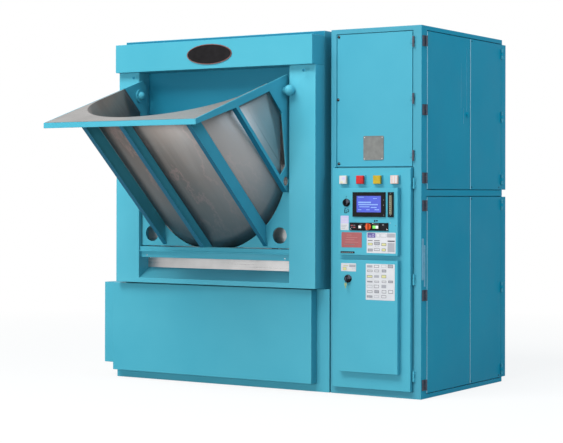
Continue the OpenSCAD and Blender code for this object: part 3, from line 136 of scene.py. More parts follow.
class Recipe(Wiring):
    """A material on the standard shader."""

    def __init__(self, name, color, roughness, metallic=0.0):
        self.material = bpy.data.materials.new(name)
        self.material.use_nodes = True
        super().__init__(self.material.node_tree)
        self.shader = self.tree.nodes["Principled BSDF"]
        self.set("Base Color", (*color, 1.0))
        self.set("Roughness", roughness)
        self.set("Metallic", metallic)
        self.coordinates = None

    def set(self, socket, value):
        self.shader.inputs[socket].default_value = value

    def drive(self, socket, source):
        self.tree.links.new(source, self.shader.inputs[socket])

    def place(self, stretch=(1.0, 1.0, 1.0), turn=(0.0, 0.0, 0.0)):
        """Object coordinates, turned and then stretched."""
        if self.coordinates is None:
            self.coordinates = self.node("TexCoord").outputs["Object"]
        turned = self.node("Mapping", {"Vector": self.coordinates, "Rotation": turn})
        return self.node("Mapping", {"Vector": turned.outputs[0], "Scale": stretch}).outputs[0]

    def noise(self, scale, detail=2.0, roughness=0.5, **where):
        inputs = {"Vector": self.place(**where), "Scale": scale, "Detail": detail, "Roughness": roughness}
        return self.node("TexNoise", inputs).outputs["Fac"]

    def between(self, axis, start, end):
        """From 0 to 1 between two places on an axis of the object, in metres."""
        place = self.node("SeparateXYZ", {"Vector": self.place()}).outputs[axis]
        return self.node("MapRange", {"Value": place, "From Min": start, "From Max": end}).outputs[0]

    def ramp(self, source, *stops):
        """Colour ramp from (position, colour) stops; a colour may be one grey number."""
        made = self.node("ValToRGB", {"Fac": source})
        elements = made.color_ramp.elements
        while len(elements) < len(stops):
            elements.new(0.5)
        for element, (position, color) in zip(elements, stops):
            element.position = position
            if isinstance(color, (int, float)):
                color = (color, color, color)
            element.color = (*color, 1.0)
        return made.outputs["Color"]

    def mix(self, factor, first, second):
        made = self.node("Mix", data_type="RGBA")
        for key, value in ((0, factor), (6, first), (7, second)):
            if isinstance(value, bpy.types.NodeSocket):
                self.tree.links.new(value, made.inputs[key])
            else:
                made.inputs[key].default_value = value if key == 0 else (*value, 1.0)
        return made.outputs[2]

    def bump(self, *layers):
        """Bump from (height, strength, depth in metres) layers, each on top of the last."""
        normal = None
        for height, strength, depth in layers:
            made = self.node("Bump", {"Height": height, "Strength": strength, "Distance": depth})
            if normal is not None:
                self.tree.links.new(normal, made.inputs["Normal"])
            normal = made.outputs["Normal"]
        self.drive("Normal", normal)


# Finishes

TEAL = (0.080, 0.405, 0.515)
TEAL_DEEP = (0.062, 0.366, 0.480)
TEAL_WORN = (0.150, 0.465, 0.565)


def teal_enamel(name="teal_enamel", tone=(1.0, 1.0, 1.0), shine=0.14):
    """Stoved enamel: faint clouding, orange peel, and small specks where it has been rubbed."""
    r = Recipe(name, TEAL, 0.36)
    deep, full = (tuple(c * t for c, t in zip(color, tone)) for color in (TEAL_DEEP, TEAL))
    cloud = r.ramp(r.noise(1.7, 3.0, 0.55), (0.30, deep), (0.72, full))
    specks = r.ramp(r.noise(55.0, 6.0, 0.7), (0.66, 0.0), (0.74, 1.0))
    patch = r.ramp(r.noise(3.1, 2.0), (0.52, 0.0), (0.64, 0.35))
    worn = r.mix(specks, (0.0, 0.0, 0.0), patch)
    r.drive("Base Color", r.mix(worn, cloud, TEAL_WORN))
    r.drive("Roughness", r.ramp(r.noise(4.0, 4.0), (0.30, 0.36), (0.75, 0.47)))
    r.bump((r.noise(420.0, 2.0), 0.10, 0.0006), (r.noise(2.2, 1.0), 0.16, 0.004))
    r.set("Specular IOR Level", shine)
    return r.material


def brushed_stainless(name, grain, tint=(0.60, 0.59, 0.58)):
    """Brushed sheet: fine grain along one direction, hand marks and slow waves in the sheet."""
    r = Recipe(name, tint, 0.32, 1.0)
    fine = r.noise(1.0, 3.0, 0.6, stretch=grain)
    mark = r.noise(5.0, 5.0, 0.62)
    dark = tuple(c * 0.80 for c in tint)
    pale = tuple(min(1.0, c * 1.16) for c in tint)
    base = r.ramp(mark, (0.30, dark), (0.55, tint), (0.80, pale))
    r.drive("Base Color", r.mix(0.22, base, r.ramp(fine, (0.3, dark), (0.7, pale))))
    r.drive("Roughness", r.ramp(fine, (0.25, 0.24), (0.75, 0.42)))
    r.bump((fine, 0.12, 0.0004), (r.noise(3.5, 2.0), 0.25, 0.006))
    return r.material


SCOOP_SLOPE = math.radians(41.3)


def scoop_stainless():
    """Worn stainless of the scoop: streaks and smears down the slide, stain edges, painted light on its right
    side, and a painted dark teal reflection at its foot.
    """
    tint = (0.135, 0.129, 0.122)
    r = Recipe("scoop_stainless", tint, 0.45, 0.85)
    down = (SCOOP_SLOPE, 0.0, 0.0)
    streak = r.noise(1.0, 5.0, 0.62, stretch=(30.0, 1.6, 30.0), turn=down)
    smear = r.noise(1.0, 3.0, 0.55, stretch=(6.0, 1.1, 6.0), turn=down)
    stain = r.noise(3.6, 6.0, 0.62)
    base = r.ramp(streak, (0.25, (0.108, 0.105, 0.102)), (0.50, tint), (0.78, (0.175, 0.167, 0.158)))
    warm = r.ramp(stain, (0.42, 0.0), (0.78, 0.6))
    base = r.mix(warm, base, (0.158, 0.118, 0.098))
    base = r.mix(r.ramp(smear, (0.45, 0.0), (0.80, 0.35)), base, (0.23, 0.235, 0.24))
    shore = r.noise(1.0, 7.0, 0.66, stretch=(3.4, 1.3, 3.4), turn=down)
    tide = r.ramp(shore, (0.505, 0.0), (0.520, 0.7), (0.545, 0.0))
    base = r.mix(tide, base, (0.26, 0.19, 0.18))
    # Painted light: the sheet turns lighter towards +X, its right side.
    painted_light_right = r.ramp(r.between("X", 0.10, 0.54), (0.0, 0.0), (0.45, 0.35), (1.0, 0.9))
    base = r.mix(painted_light_right, base, (0.37, 0.375, 0.38))
    # Painted reflection: darker and teal-blue towards the foot of the slide, for the teal ledge mirrored there.
    foot_reflection = r.ramp(r.between("Z", 0.85, 1.40), (0.0, 0.95), (0.40, 0.60), (1.0, 0.0))
    r.drive("Base Color", r.mix(foot_reflection, base, (0.040, 0.085, 0.105)))
    r.drive("Roughness", r.ramp(streak, (0.25, 0.38), (0.80, 0.56)))
    r.bump((streak, 0.12, 0.0005), (smear, 0.20, 0.006))
    return r.material


def galvanised():
    """Zinc-coated sheet with its crystal pattern."""
    r = Recipe("galvanised", (0.55, 0.57, 0.58), 0.42, 0.9)
    cells = r.node("TexVoronoi", {"Vector": r.place(), "Scale": 70.0})
    base = r.ramp(cells.outputs["Color"], (0.0, (0.44, 0.46, 0.48)), (1.0, (0.66, 0.68, 0.69)))
    r.drive("Base Color", base)
    r.drive("Roughness", r.ramp(cells.outputs["Color"], (0.0, 0.34), (1.0, 0.52)))
    r.bump((r.noise(160.0, 3.0), 0.08, 0.0004))
    return r.material


def painted_casting():
    """Cast iron under thick paint."""
    r = Recipe("painted_casting", (0.10, 0.13, 0.17), 0.45)
    paint = r.ramp(r.noise(9.0, 4.0), (0.3, (0.085, 0.11, 0.15)), (0.8, (0.13, 0.16, 0.20)))
    r.drive("Base Color", paint)
    r.bump((r.noise(240.0, 4.0, 0.6), 0.35, 0.0009))
    return r.material


def ground_steel():
    """Bright steel with the marks of grinding or turning."""
    r = Recipe("ground_steel", (0.56, 0.56, 0.57), 0.24, 1.0)
    rings = r.noise(1.0, 2.0, stretch=(30.0, 900.0, 30.0))
    r.drive("Roughness", r.ramp(rings, (0.3, 0.18), (0.7, 0.34)))
    r.bump((rings, 0.10, 0.0003))
    return r.material


def copper():
    """Tube with brown tarnish in patches."""
    r = Recipe("copper_tube", (0.72, 0.36, 0.22), 0.30, 1.0)
    tarnish = r.ramp(r.noise(14.0, 5.0), (0.3, (0.46, 0.22, 0.14)), (0.7, (0.78, 0.42, 0.27)))
    r.drive("Base Color", tarnish)
    r.drive("Roughness", r.ramp(r.noise(30.0, 3.0), (0.3, 0.22), (0.7, 0.45)))
    return r.material


def dark_zinc():
    """Blackened hinge steel, rubbed to brown on its high spots."""
    r = Recipe("dark_zinc", (0.07, 0.08, 0.11), 0.50, 0.25)
    wear = r.ramp(r.noise(60.0, 5.0, 0.65), (0.45, (0.060, 0.070, 0.100)), (0.75, (0.130, 0.105, 0.110)))
    r.drive("Base Color", wear)
    r.drive("Roughness", r.ramp(r.noise(90.0, 3.0), (0.3, 0.40), (0.7, 0.60)))
    r.bump((r.noise(300.0, 3.0), 0.15, 0.0004))
    r.set("Specular IOR Level", 0.25)
    return r.material


def rubber():
    """Matt rubber, dusty in places."""
    r = Recipe("black_rubber", (0.020, 0.020, 0.021), 0.75)
    dust = r.ramp(r.noise(25.0, 4.0), (0.3, (0.016, 0.016, 0.017)), (0.8, (0.038, 0.038, 0.040)))
    r.drive("Base Color", dust)
    r.bump((r.noise(500.0, 2.0), 0.25, 0.0005))
    return r.material


def plastic(name, color, roughness, grain=0.12, shine=0.5):
    """Moulded plastic: slight tone variation and a fine texture."""
    r = Recipe(name, color, roughness)
    pale = tuple(min(1.0, c * 1.12 + 0.004) for c in color)
    deep = tuple(c * 0.88 for c in color)
    r.drive("Base Color", r.ramp(r.noise(30.0, 3.0), (0.3, deep), (0.7, pale)))
    smooth, rough = roughness * 0.85, min(1.0, roughness * 1.2)
    r.drive("Roughness", r.ramp(r.noise(110.0, 3.0), (0.3, smooth), (0.7, rough)))
    r.bump((r.noise(900.0, 2.0), grain, 0.0003))
    r.set("Specular IOR Level", shine)
    return r.material


def printed_sheet(name, color):
    """Laminated label stock: a faint paper tone under a satin film."""
    r = Recipe(name, color, 0.42)
    deep = tuple(c * 0.93 for c in color)
    r.drive("Base Color", r.ramp(r.noise(22.0, 4.0), (0.35, deep), (0.65, color)))
    r.bump((r.noise(40.0, 2.0), 0.10, 0.0006))
    r.set("Coat Weight", 0.15)
    return r.material


def lit_glass(name, color, glow, strength):
    """Display glass with its light behind it."""
    r = Recipe(name, color, 0.12)
    band = r.ramp(r.noise(14.0, 2.0), (0.30, tuple(c * 0.75 for c in glow)), (0.75, glow))
    r.drive("Emission Color", band)
    r.set("Emission Strength", strength)
    r.drive("Base Color", r.ramp(r.noise(14.0, 2.0), (0.3, tuple(c * 0.8 for c in color)), (0.8, color)))
    r.set("Coat Weight", 0.4)
    return r.material


def perforated_stainless():
    """Drum sheet: staggered rows of round holes round the axis, placed by angle."""
    radius, pitch, hole = 0.640, 0.012, 0.30
    r = Recipe("perforated_stainless", (0.58, 0.58, 0.585), 0.30, 1.0)
    axis_z = sum(corner.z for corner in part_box("drum_basket")) / 2
    split = r.node("SeparateXYZ", {"Vector": r.place()}).outputs
    height = r.math("SUBTRACT", split["Z"], axis_z)
    row = r.math("MULTIPLY", split["Y"], 1.0 / pitch)
    around = r.math("MULTIPLY", r.math("ARCTAN2", split["X"], height), radius / pitch)
    pair = r.math("FLOOR", r.math("MULTIPLY", row, 0.5))
    moved = r.math("ADD", around, r.math("MULTIPLY", pair, 0.5))
    cell = r.node("CombineXYZ", {"X": moved, "Y": row})
    part = r.node("VectorMath", {0: cell.outputs[0]}, operation="FRACTION")
    centred = r.node("VectorMath", {0: part.outputs[0], 1: (0.5, 0.5, 0.0)}, operation="DISTANCE")
    inside = r.math("LESS_THAN", centred.outputs["Value"], hole)
    steel = r.ramp(r.noise(6.0, 4.0), (0.3, (0.46, 0.46, 0.47)), (0.8, (0.68, 0.68, 0.68)))
    # Painted shade: the holes are drawn near black, for the shade seen through them.
    r.drive("Base Color", r.mix(inside, steel, (0.012, 0.012, 0.013)))
    r.drive("Roughness", r.ramp(inside, (0.0, 0.28), (1.0, 0.9)))
    r.bump((r.ramp(inside, (0.0, 1.0), (1.0, 0.0)), 0.5, 0.001))
    return r.material


FINISH = {
    "teal": teal_enamel(),
    "stainless": brushed_stainless("brushed_stainless", (3.0, 260.0, 260.0)),
    "rim_stainless": brushed_stainless("rim_stainless", (4.0, 240.0, 240.0), (0.335, 0.325, 0.315)),
    "slot_stainless": brushed_stainless("slot_stainless", (3.0, 260.0, 260.0), (0.43, 0.43, 0.43)),
    "perforated": perforated_stainless(),
    "scoop": scoop_stainless(),
    "galvanised": galvanised(),
    "casting": painted_casting(),
    "ground_steel": ground_steel(),
    "copper": copper(),
    "zinc": dark_zinc(),
    "rubber": rubber(),
    "brass": plastic("brass_key", (0.30, 0.40, 0.16), 0.35, 0.10),
    "orange": plastic("orange_plastic", (0.72, 0.085, 0.008), 0.34, 0.05, 0.35),
    "white_button": plastic("white_plastic", (0.58, 0.53, 0.43), 0.36, 0.05, 0.4),
    "red": plastic("red_plastic", (0.50, 0.007, 0.008), 0.34, 0.05, 0.25),
    "yellow": plastic("yellow_plastic", (0.47, 0.32, 0.006), 0.34, 0.05, 0.25),
    "cream_button": plastic("cream_plastic", (0.62, 0.40, 0.33), 0.36, 0.05, 0.4),
}
# Enamels that differ by their tone against the plain teal, and by their shine; each tone paints light or shade:
# a lighter tone paints light on the front frame, darker tones paint shade on the cabinet's post and upper door,
# on faces turned to the right, on the chute's undersides and on the recessed front wall
for name, how in {
        "frame_teal": [(1.30, 1.13, 1.11)],
        "post_teal": [(0.90, 0.83, 0.85)],
        "cabinet_teal": [(0.92, 0.92, 0.94)],
        "side_teal": [(0.12, 0.92, 1.0), 0.06],
        "underside_shade_teal": [(0.10, 0.36, 0.46)],
        "thin_teal": [(0.20, 0.52, 0.62)]}.items():
    FINISH[name] = teal_enamel(name + "_enamel", *how)
# Colour, roughness, grain and shine
for name, how in {
        "cream_enamel": [(0.66, 0.63, 0.54), 0.40, 0.06],
        "worn_edge": [(0.42, 0.78, 0.86), 0.38, 0.08],
        "faded_teal": [(0.26, 0.52, 0.64), 0.5, 0.08, 0.1],
        "rubbed_teal": [(0.10, 0.46, 0.60), 0.42, 0.08, 0.14],
        "grey_plastic": [(0.15, 0.16, 0.17), 0.48, 0.15, 0.2],
        "pale_plastic": [(0.46, 0.47, 0.46), 0.42, 0.12],
        "black_plastic": [(0.006, 0.006, 0.007), 0.50, 0.12, 0.08],
        "badge_black": [(0.008, 0.007, 0.008), 0.34, 0.05, 0.10],
        "badge_rim": [(0.185, 0.085, 0.080), 0.34, 0.05, 0.3],
        "door_plate": [(0.185, 0.185, 0.175), 0.55, 0.2, 0.2]}.items():
    FINISH[name] = plastic(name, *how)
for name, color in {
        "label_white": (0.62, 0.61, 0.63),
        "label_grey": (0.34, 0.34, 0.37),
        "label_lavender": (0.55, 0.50, 0.72),
        "label_print": (0.060, 0.055, 0.070),
        "label_yellow": (0.64, 0.61, 0.26),
        "label_rose": (0.42, 0.15, 0.145),
        "label_blue": (0.085, 0.065, 0.28),
        "label_red": (0.34, 0.070, 0.075)}.items():
    FINISH[name] = printed_sheet(name, color)
# Colour, the light's colour and its strength
for name, how in {
        "screen_glass": [(0.03, 0.05, 0.34), (0.035, 0.065, 0.46), 0.85],
        "screen_pale": [(0.14, 0.24, 0.50), (0.14, 0.25, 0.56), 0.8],
        "strip_glass": [(0.10, 0.10, 0.045), (0.085, 0.085, 0.04), 0.3],
        "green_lamp": [(0.10, 0.42, 0.06), (0.12, 0.62, 0.08), 0.9],
        "white_lamp": [(0.60, 0.62, 0.60), (0.62, 0.64, 0.60), 0.6]}.items():
    FINISH[name] = lit_glass(name, *how)

# CAD nodes by finish, each with the edge radius in millimetres of the rounded copy that replaces it, or 0 where
# the node itself is shown

NODES_BY_FINISH = {
    # Painted light: the front frame takes a lighter copy of the teal.
    "frame_teal": {"front_frame": 2.5},
    # Painted shade: the cabinet's frame takes a darker copy of the teal.
    "post_teal": {"cabinet_frame": 2.0},
    # Painted shade: the upper front door takes a darker copy of the teal.
    "cabinet_teal": {"upper_door": 2.0},
    # Painted shade: the front wall recessed behind the chute takes a darker copy of the teal.
    "thin_teal": {"front_wall": 0.8},
    # Painted shade: the side doors, turned to +X, take a darker, bluer copy of the teal.
    "side_teal": {"side_upper_front_door": 2.0, "side_upper_rear_door": 2.0, "side_lower_front_door": 2.0,
                  "side_lower_rear_door": 2.0, "side_latch": 1.2},
    "teal": {"base_frame": 1.5, "base_front_cover": 2.5, "lint_box": 2.0, "housing_side_panels": 1.0,
             "housing_top_panel": 1.0, "housing_rear_cover": 0.8, "header_cover": 2.5,
             "outlet_ledge": 1.5, "rear_covers": 2.0, "chute_frame": 1.5, "chute_ribs": 1.5,
             "chute_pivots": 0, "lower_door": 1.5, "control_panel": 2.5, "lower_panel": 2.5},
    "rim_stainless": {"chute_plate": 0},
    "slot_stainless": {"mouth_panel": 0},
    "stainless": {"drum_lifters": 3.0, "lint_drawer": 0.7},
    "perforated": {"drum_basket": 0},
    "galvanised": {"bearing_plate": 0, "drum_casing": 0, "heater_box": 1.0, "blower_casing": 1.0,
                   "exhaust_collar": 0.8, "blower_impeller": 0, "lint_chamber": 0},
    "casting": {"blower_motor": 2.5, "drive_motor": 2.5, "bearing_housing": 2.0, "drum_spider": 1.5,
                "drum_pulley": 1.0, "motor_pulley": 1.0},
    "ground_steel": {"drum_shaft": 0},
    "copper": {"heater_coil": 0},
    "rubber": {"drum_belts": 0, "ledge_buffers": 1.5},
    "cream_enamel": {"mounting_plate": 0.8},
    "zinc": {"door_hinges": 0.6},
    "black_plastic": {"electrics": 2.5, "displays": 1.2, "switch_bar": 1.0},
    "orange": {"rotary_switch": 1.6},
    "white_button": {"white_button": 2.4},
    "red": {"red_button": 2.4},
    "yellow": {"yellow_button": 2.4},
    "cream_button": {"cream_button": 2.4},
}
HINGED = {"door_hinges", "upper_door", "side_upper_front_door", "side_lower_front_door"}
SHARP = math.radians(35)

# Strips beside the cabinet's right front corner in which the hinges show, and how far a knuckle stands out at
# least, in metres

LEAF_STRIP = 0.0435
UPPER_KNUCKLE_STRIP = 0.0590
SIDE_KNUCKLE_STRIP = 0.0565
PROUD = 0.0005


def body_of_node(node):
    for body, members in frame["record"]["behaviour"]["bodies"].items():
        if node in members:
            return body
    raise ValueError(node)


def round_edges(thing, width):
    """Bevel modifier on the sharp edges, with shading that stays flat between them."""
    bevel = thing.modifiers.new("rounded edges", "BEVEL")
    bevel.width = width * MM
    bevel.segments = 2
    bevel.limit_method = "ANGLE"
    bevel.angle_limit = SHARP
    bevel.use_clamp_overlap = False
    bevel.harden_normals = True


def dress_nodes():
    for finish, nodes in NODES_BY_FINISH.items():
        for node, radius in nodes.items():
            for slot in frame["nodes"][node].material_slots:
                slot.material = FINISH[finish]
            if radius:
                soften(node, radius, finish)


def soften(node, radius, finish):
    """Copy of a node with rounded edges, in its place."""
    bm = bmesh.new()
    bm.from_mesh(frame["nodes"][node].data)
    bmesh.ops.remove_doubles(bm, verts=bm.verts, dist=WELD)
    bmesh.ops.dissolve_limit(bm, angle_limit=math.radians(0.5), verts=bm.verts, edges=bm.edges)
    made = piece("soft_" + node, bm, body_of_node(node), finish)
    round_edges(made, radius)
    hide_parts(node)
    if node in HINGED:
        paint_hinges(made, node)
    # Painted shade: the chute frame's and ribs' faces turned down and forwards take a darker copy of the teal.
    if node in ("chute_frame", "chute_ribs"):
        paint_faces(made, "underside_shade_teal", lambda normal: normal.z < -0.55 and normal.y < -0.35)
    if node in ("cabinet_frame", "rear_covers"):
        # Painted shade: faces turned to +X take the darker, bluer copy of the teal.
        paint_faces(made, "side_teal", lambda normal: normal.x > 0.7)


def paint_hinges(made, node):
    """Dark knuckles on the doors that show theirs, enamel on the other hinges."""
    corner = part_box("cabinet_frame")[1].x
    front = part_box("base_frame")[0].y
    upper_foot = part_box("upper_door")[0].z
    made.data.materials.append(FINISH["teal" if node == "door_hinges" else "zinc"])
    for face in made.data.polygons:
        place = face.center
        if node == "door_hinges":
            low_front = place.x < corner and place.z < upper_foot
            leaf_right = corner - LEAF_STRIP < place.x < corner
            face.material_index = int(low_front or leaf_right or place.y > 0)
        elif node == "upper_door":
            face.material_index = int(place.y < front - PROUD and place.x > corner - UPPER_KNUCKLE_STRIP)
        else:
            face.material_index = int(place.x > corner + PROUD and place.y < front + SIDE_KNUCKLE_STRIP)


def paint_faces(made, finish, chosen):
    """Second finish on the faces whose normal is chosen."""
    made.data.materials.append(FINISH[finish])
    for face in made.data.polygons:
        if chosen(face.normal):
            face.material_index = 1


# Making pieces


def piece(name, bm, body, finish):
    """Object from a bmesh, riding on a body, with its finish or a list of them by face."""
    mesh = bpy.data.meshes.new(name)
    bm.to_mesh(mesh)
    bm.free()
    mesh.shade_smooth()
    mesh.set_sharp_from_angle(angle=SHARP)
    for one in [finish] if isinstance(finish, str) else finish:
        mesh.materials.append(FINISH[one])
    made = bpy.data.objects.new(name, mesh)
    bpy.context.scene.collection.objects.link(made)
    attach(made, body)
    return made


def close_up(bm):
    bmesh.ops.recalc_face_normals(bm, faces=bm.faces)


def outward_piece(name, bm, body, finish):
    """Piece whose faces are turned outwards first."""
    close_up(bm)
    return piece(name, bm, body, finish)


def door_piece(name, bm, finish):
    return outward_piece(name, bm, "lower_door", finish)


def millimetres(node):
    low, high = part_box(node)
    return low / MM, high / MM


CABINET_FRONT = millimetres("base_frame")[0].y
CABINET_CORNER = millimetres("cabinet_frame")[1].x


def add_block(bm, low, high):
    """Closed block between two corners, in millimetres."""
    low = Vector(low) * MM
    high = Vector(high) * MM
    made = bmesh.ops.create_cube(bm, size=1.0)["verts"]
    bmesh.ops.scale(bm, verts=made, vec=high - low)
    bmesh.ops.translate(bm, verts=made, vec=(low + high) / 2)
    return made


def finish_faces(verts, index):
    for vert in verts:
        for face in vert.link_faces:
            face.material_index = index


def edges_of(verts):
    """Each edge of the vertices once, in a fixed order."""
    return list(dict.fromkeys(edge for vert in verts for edge in vert.link_edges))


def ease(bm, edges, offset, segments=2):
    bmesh.ops.bevel(bm, geom=edges, offset=offset * MM, segments=segments, profile=0.5,
                    affect="EDGES", material=-1)


def add_plate(bm, low, high, corner, index=0, axis=1, segments=3):
    """Block whose corners are rounded as seen along one axis."""
    verts = add_block(bm, low, high)
    finish_faces(verts, index)
    edges = []
    for edge in edges_of(verts):
        run = edge.verts[0].co - edge.verts[1].co
        if abs(run[axis]) > 0.9 * run.length:
            edges.append(edge)
    ease(bm, edges, corner, segments)


def add_tiles(bm, left, foot, rows, face, depth, corner, index=0):
    """Thin plates on a face, from rows of x, z, width, height and, if it differs, the finish.

    The depth is how far they stand out of the face and how far they reach into it.
    """
    out, into = depth
    for x, z, width, height, *own in rows:
        x += left
        z += foot
        add_plate(bm, (x, face - out, z), (x + width, face + into, z + height), corner,
                  own[0] if own else index)


def add_turned(bm, centre, profile, index=0, steps=48):
    """Round part about a Y axis through the centre, from (radius, y) points, in millimetres."""
    first = len(bm.verts)
    x, z = centre[0] * MM, centre[1] * MM
    line = [bm.verts.new((x + radius * MM, y * MM, z)) for radius, y in profile]
    edges = [bm.edges.new(pair) for pair in zip(line, line[1:])]
    bmesh.ops.spin(bm, geom=line + edges, cent=(x, 0.0, z), axis=(0, 1, 0), angle=FULL_TURN,
                   steps=steps, use_merge=True)
    bm.verts.ensure_lookup_table()
    made = bm.verts[first:]
    finish_faces(made, index)
    bmesh.ops.remove_doubles(bm, verts=made, dist=WELD)


def add_stud(bm, centre, face, radii, heights, index=0, steps=16):
    """Low round head: a flat top, a slope to the wider edge, and a root, by their heights over the face."""
    top, edge, root = heights
    inner, outer = radii
    add_turned(bm, centre, ((0, face - top), (inner, face - top), (outer, face - edge),
                            (outer, face - root)), index, steps)


def front_face(faces):
    return min(faces, key=lambda face: face.calc_center_median().y)


def inset(bm, face, width, depth=0.0):
    bmesh.ops.inset_region(bm, faces=[face], thickness=width * MM, depth=depth * MM)


def add_cells(bm, left, foot, rows, y, width=3.2):
    """Printed boxes on a label, from rows of x0, x1, z0, z1, the outline's finish and the inside's."""
    for x0, x1, z0, z1, line, fill in rows:
        verts = add_block(bm, (left + x0, y - 0.25, foot + z0), (left + x1, y + 0.2, foot + z1))
        finish_faces(verts, line)
        front = front_face(face for vert in verts for face in vert.link_faces)
        inset(bm, front, width)
        front.material_index = fill


# Stage and light, in metres: the floor turns from shaded to white between the near and the far distance

FLOOR_HALF = 40.0
FLOOR_DROP = 0.0005
SHADE_NEAR = 2.2
SHADE_FAR = 6.5


def set_stage():
    """White floor with a soft contact shadow that fades into the white surround."""
    bm = bmesh.new()
    bmesh.ops.create_grid(bm, x_segments=1, y_segments=1, size=FLOOR_HALF)
    mesh = bpy.data.meshes.new("floor")
    bm.to_mesh(mesh)
    bm.free()
    floor = bpy.data.objects.new("floor", mesh)
    floor.location = (0.0, 0.0, -FLOOR_DROP)
    bpy.context.scene.collection.objects.link(floor)
    r = Recipe("floor_white", (0.80, 0.80, 0.80), 0.9)
    glow = r.node("Emission", {"Color": (1.0, 1.0, 1.0, 1.0), "Strength": 1.0})
    seen = r.seen_rays()
    r.drive("Base Color", r.mix(seen, (0.26, 0.26, 0.26), (0.90, 0.90, 0.90)))
    away = r.node("VectorMath", {0: r.place()}, operation="LENGTH")
    fade = r.node("MapRange", {"Value": away.outputs["Value"], "From Min": SHADE_NEAR,
                               "From Max": SHADE_FAR, "To Min": 0.86, "To Max": 1.0})
    share = r.math("MULTIPLY", seen, fade.outputs[0])
    r.finish_with("Material Output", share, r.shader.outputs[0], glow.outputs[0])
    mesh.materials.append(r.material)


def set_world():
    """White to the camera, in reflections and through glass, and a pale blue light for the rest."""
    world = bpy.data.worlds.new("surround")
    bpy.context.scene.world = world
    world.use_nodes = True
    wires = Wiring(world.node_tree)
    light = wires.tree.nodes["Background"]
    light.inputs["Color"].default_value = (0.46, 0.80, 1.0, 1.0)
    light.inputs["Strength"].default_value = 0.38
    white = wires.node("Background", {"Color": (1.0, 1.0, 1.0, 1.0)})
    wires.finish_with("World Output", wires.seen_rays(), light.outputs[0], white.outputs[0])


def set_lights():
    """Large soft lamps: high in front, level in front, and a cool one on the right side."""
    area_light("key", (-1.2, -6.8, 9.2), (0.3, -0.6, 1.1), 8.0, 4.5, 1150.0, (1.0, 0.965, 0.935))
    area_light("fill", (0.2, -10.4, 1.3), (0.0, -0.6, 0.9), 8.0, 2.6, 440.0, (1.0, 0.985, 0.97))
    area_light("side", (7.0, -0.6, 5.6), (1.3, 0.0, 1.1), 4.0, 3.5, 160.0, (0.62, 0.83, 1.0))


# Chute scoop, in metres: lengths run forwards from the front wall, heights from the floor

FRONT_Y = -0.560
SCOOP_RADIUS = 0.536
SCOOP_SHEET = 0.003
SCOOP_CENTRE_Z = 1.383
SCOOP_EDGE_Z = 1.662
SCOOP_REACH = 1.25
SCOOP_WELD = 1e-5
SCOOP_END = 0.070
MOUTH_CLEARANCE = 0.002
SCOOP_LOW = 0.872
SCOOP_CORNER_Z = 1.215
END_LENGTH_TO_RISE = 0.65
WINDOW_BACK = 0.147
RIM_FORWARD = 1.063
RIM_Z = 1.626
RIM_CLEARANCE = 0.001
RIM_SLOPE = math.radians(17.8)


def scoop():
    """Half pipe on a slope with straight upper sides, cut along the rim, at its end and over the ledge."""
    bm = bmesh.new()
    radius = SCOOP_RADIUS - SCOOP_SHEET / 2
    back = FRONT_Y - SCOOP_END
    low = bm.verts.new((0.0, back, SCOOP_CENTRE_Z - radius))
    arc = bmesh.ops.spin(bm, geom=[low], cent=(0.0, back, SCOOP_CENTRE_Z), axis=(0, 1, 0),
                         angle=-QUARTER_TURN, steps=64)
    tip = [v for v in arc["geom_last"] if isinstance(v, bmesh.types.BMVert)]
    side = bmesh.ops.extrude_vert_indiv(bm, verts=tip)["verts"]
    bmesh.ops.translate(bm, verts=side, vec=(0.0, 0.0, SCOOP_EDGE_Z - SCOOP_CENTRE_Z))
    bmesh.ops.mirror(bm, geom=bm.verts[:] + bm.edges[:], axis="X", merge_dist=SCOOP_WELD)
    bmesh.ops.remove_doubles(bm, verts=bm.verts, dist=SCOOP_WELD)
    slide = Vector((0.0, -1.0, math.tan(SCOOP_SLOPE)))
    made = bmesh.ops.extrude_edge_only(bm, edges=bm.edges[:])["geom"]
    moved = [v for v in made if isinstance(v, bmesh.types.BMVert)]
    bmesh.ops.translate(bm, verts=moved, vec=slide * SCOOP_REACH)

    def trim(place, away, drop=True):
        bmesh.ops.bisect_plane(bm, geom=bm.verts[:] + bm.edges[:] + bm.faces[:], dist=WELD,
                               plane_co=place, plane_no=away, clear_outer=drop)

    back -= MOUTH_CLEARANCE
    trim((0.0, FRONT_Y - RIM_FORWARD, RIM_Z - RIM_CLEARANCE),
         (0.0, -math.sin(RIM_SLOPE), math.cos(RIM_SLOPE)))
    trim((0.0, back, 0.0), (0.0, 1.0, 0.0))
    trim((0.0, 0.0, SCOOP_LOW), (0.0, 0.0, -1.0))
    # The sides end on a slant above the side plates' corner, as far as the back of their windows
    slant = 1 / END_LENGTH_TO_RISE + math.tan(SCOOP_SLOPE)
    foot = Vector((0.0, back, SCOOP_CORNER_Z))
    stop = FRONT_Y - WINDOW_BACK
    trim(foot, (0.0, slant, 1.0), drop=False)
    trim((0.0, stop, 0.0), (0.0, 1.0, 0.0), drop=False)
    extra = []
    for face in bm.faces:
        middle = face.calc_center_median()
        if middle.y > stop and middle.z > foot.z + (foot.y - middle.y) * slant:
            extra.append(face)
    bmesh.ops.delete(bm, geom=extra, context="FACES")
    made = outward_piece("scoop", bm, "chute", "scoop")
    wall = made.modifiers.new("sheet", "SOLIDIFY")
    wall.thickness = SCOOP_SHEET
    wall.offset = 0.0
    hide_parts("chute_scoop")


# Controls on the lower front door, in millimetres: a mark is x, z, width, height and, where it differs, its
# finish, and a cell is x0, x1, z0, z1 and the finish of its outline and of its inside

LABEL = ["label_white", "label_print", "label_grey", "label_yellow", "label_blue", "label_lavender"]
WHITE, INK, GREY, YELLOW, BLUE, LAVENDER = range(len(LABEL))
LABEL_DEPTH = (0.8, 0.2)

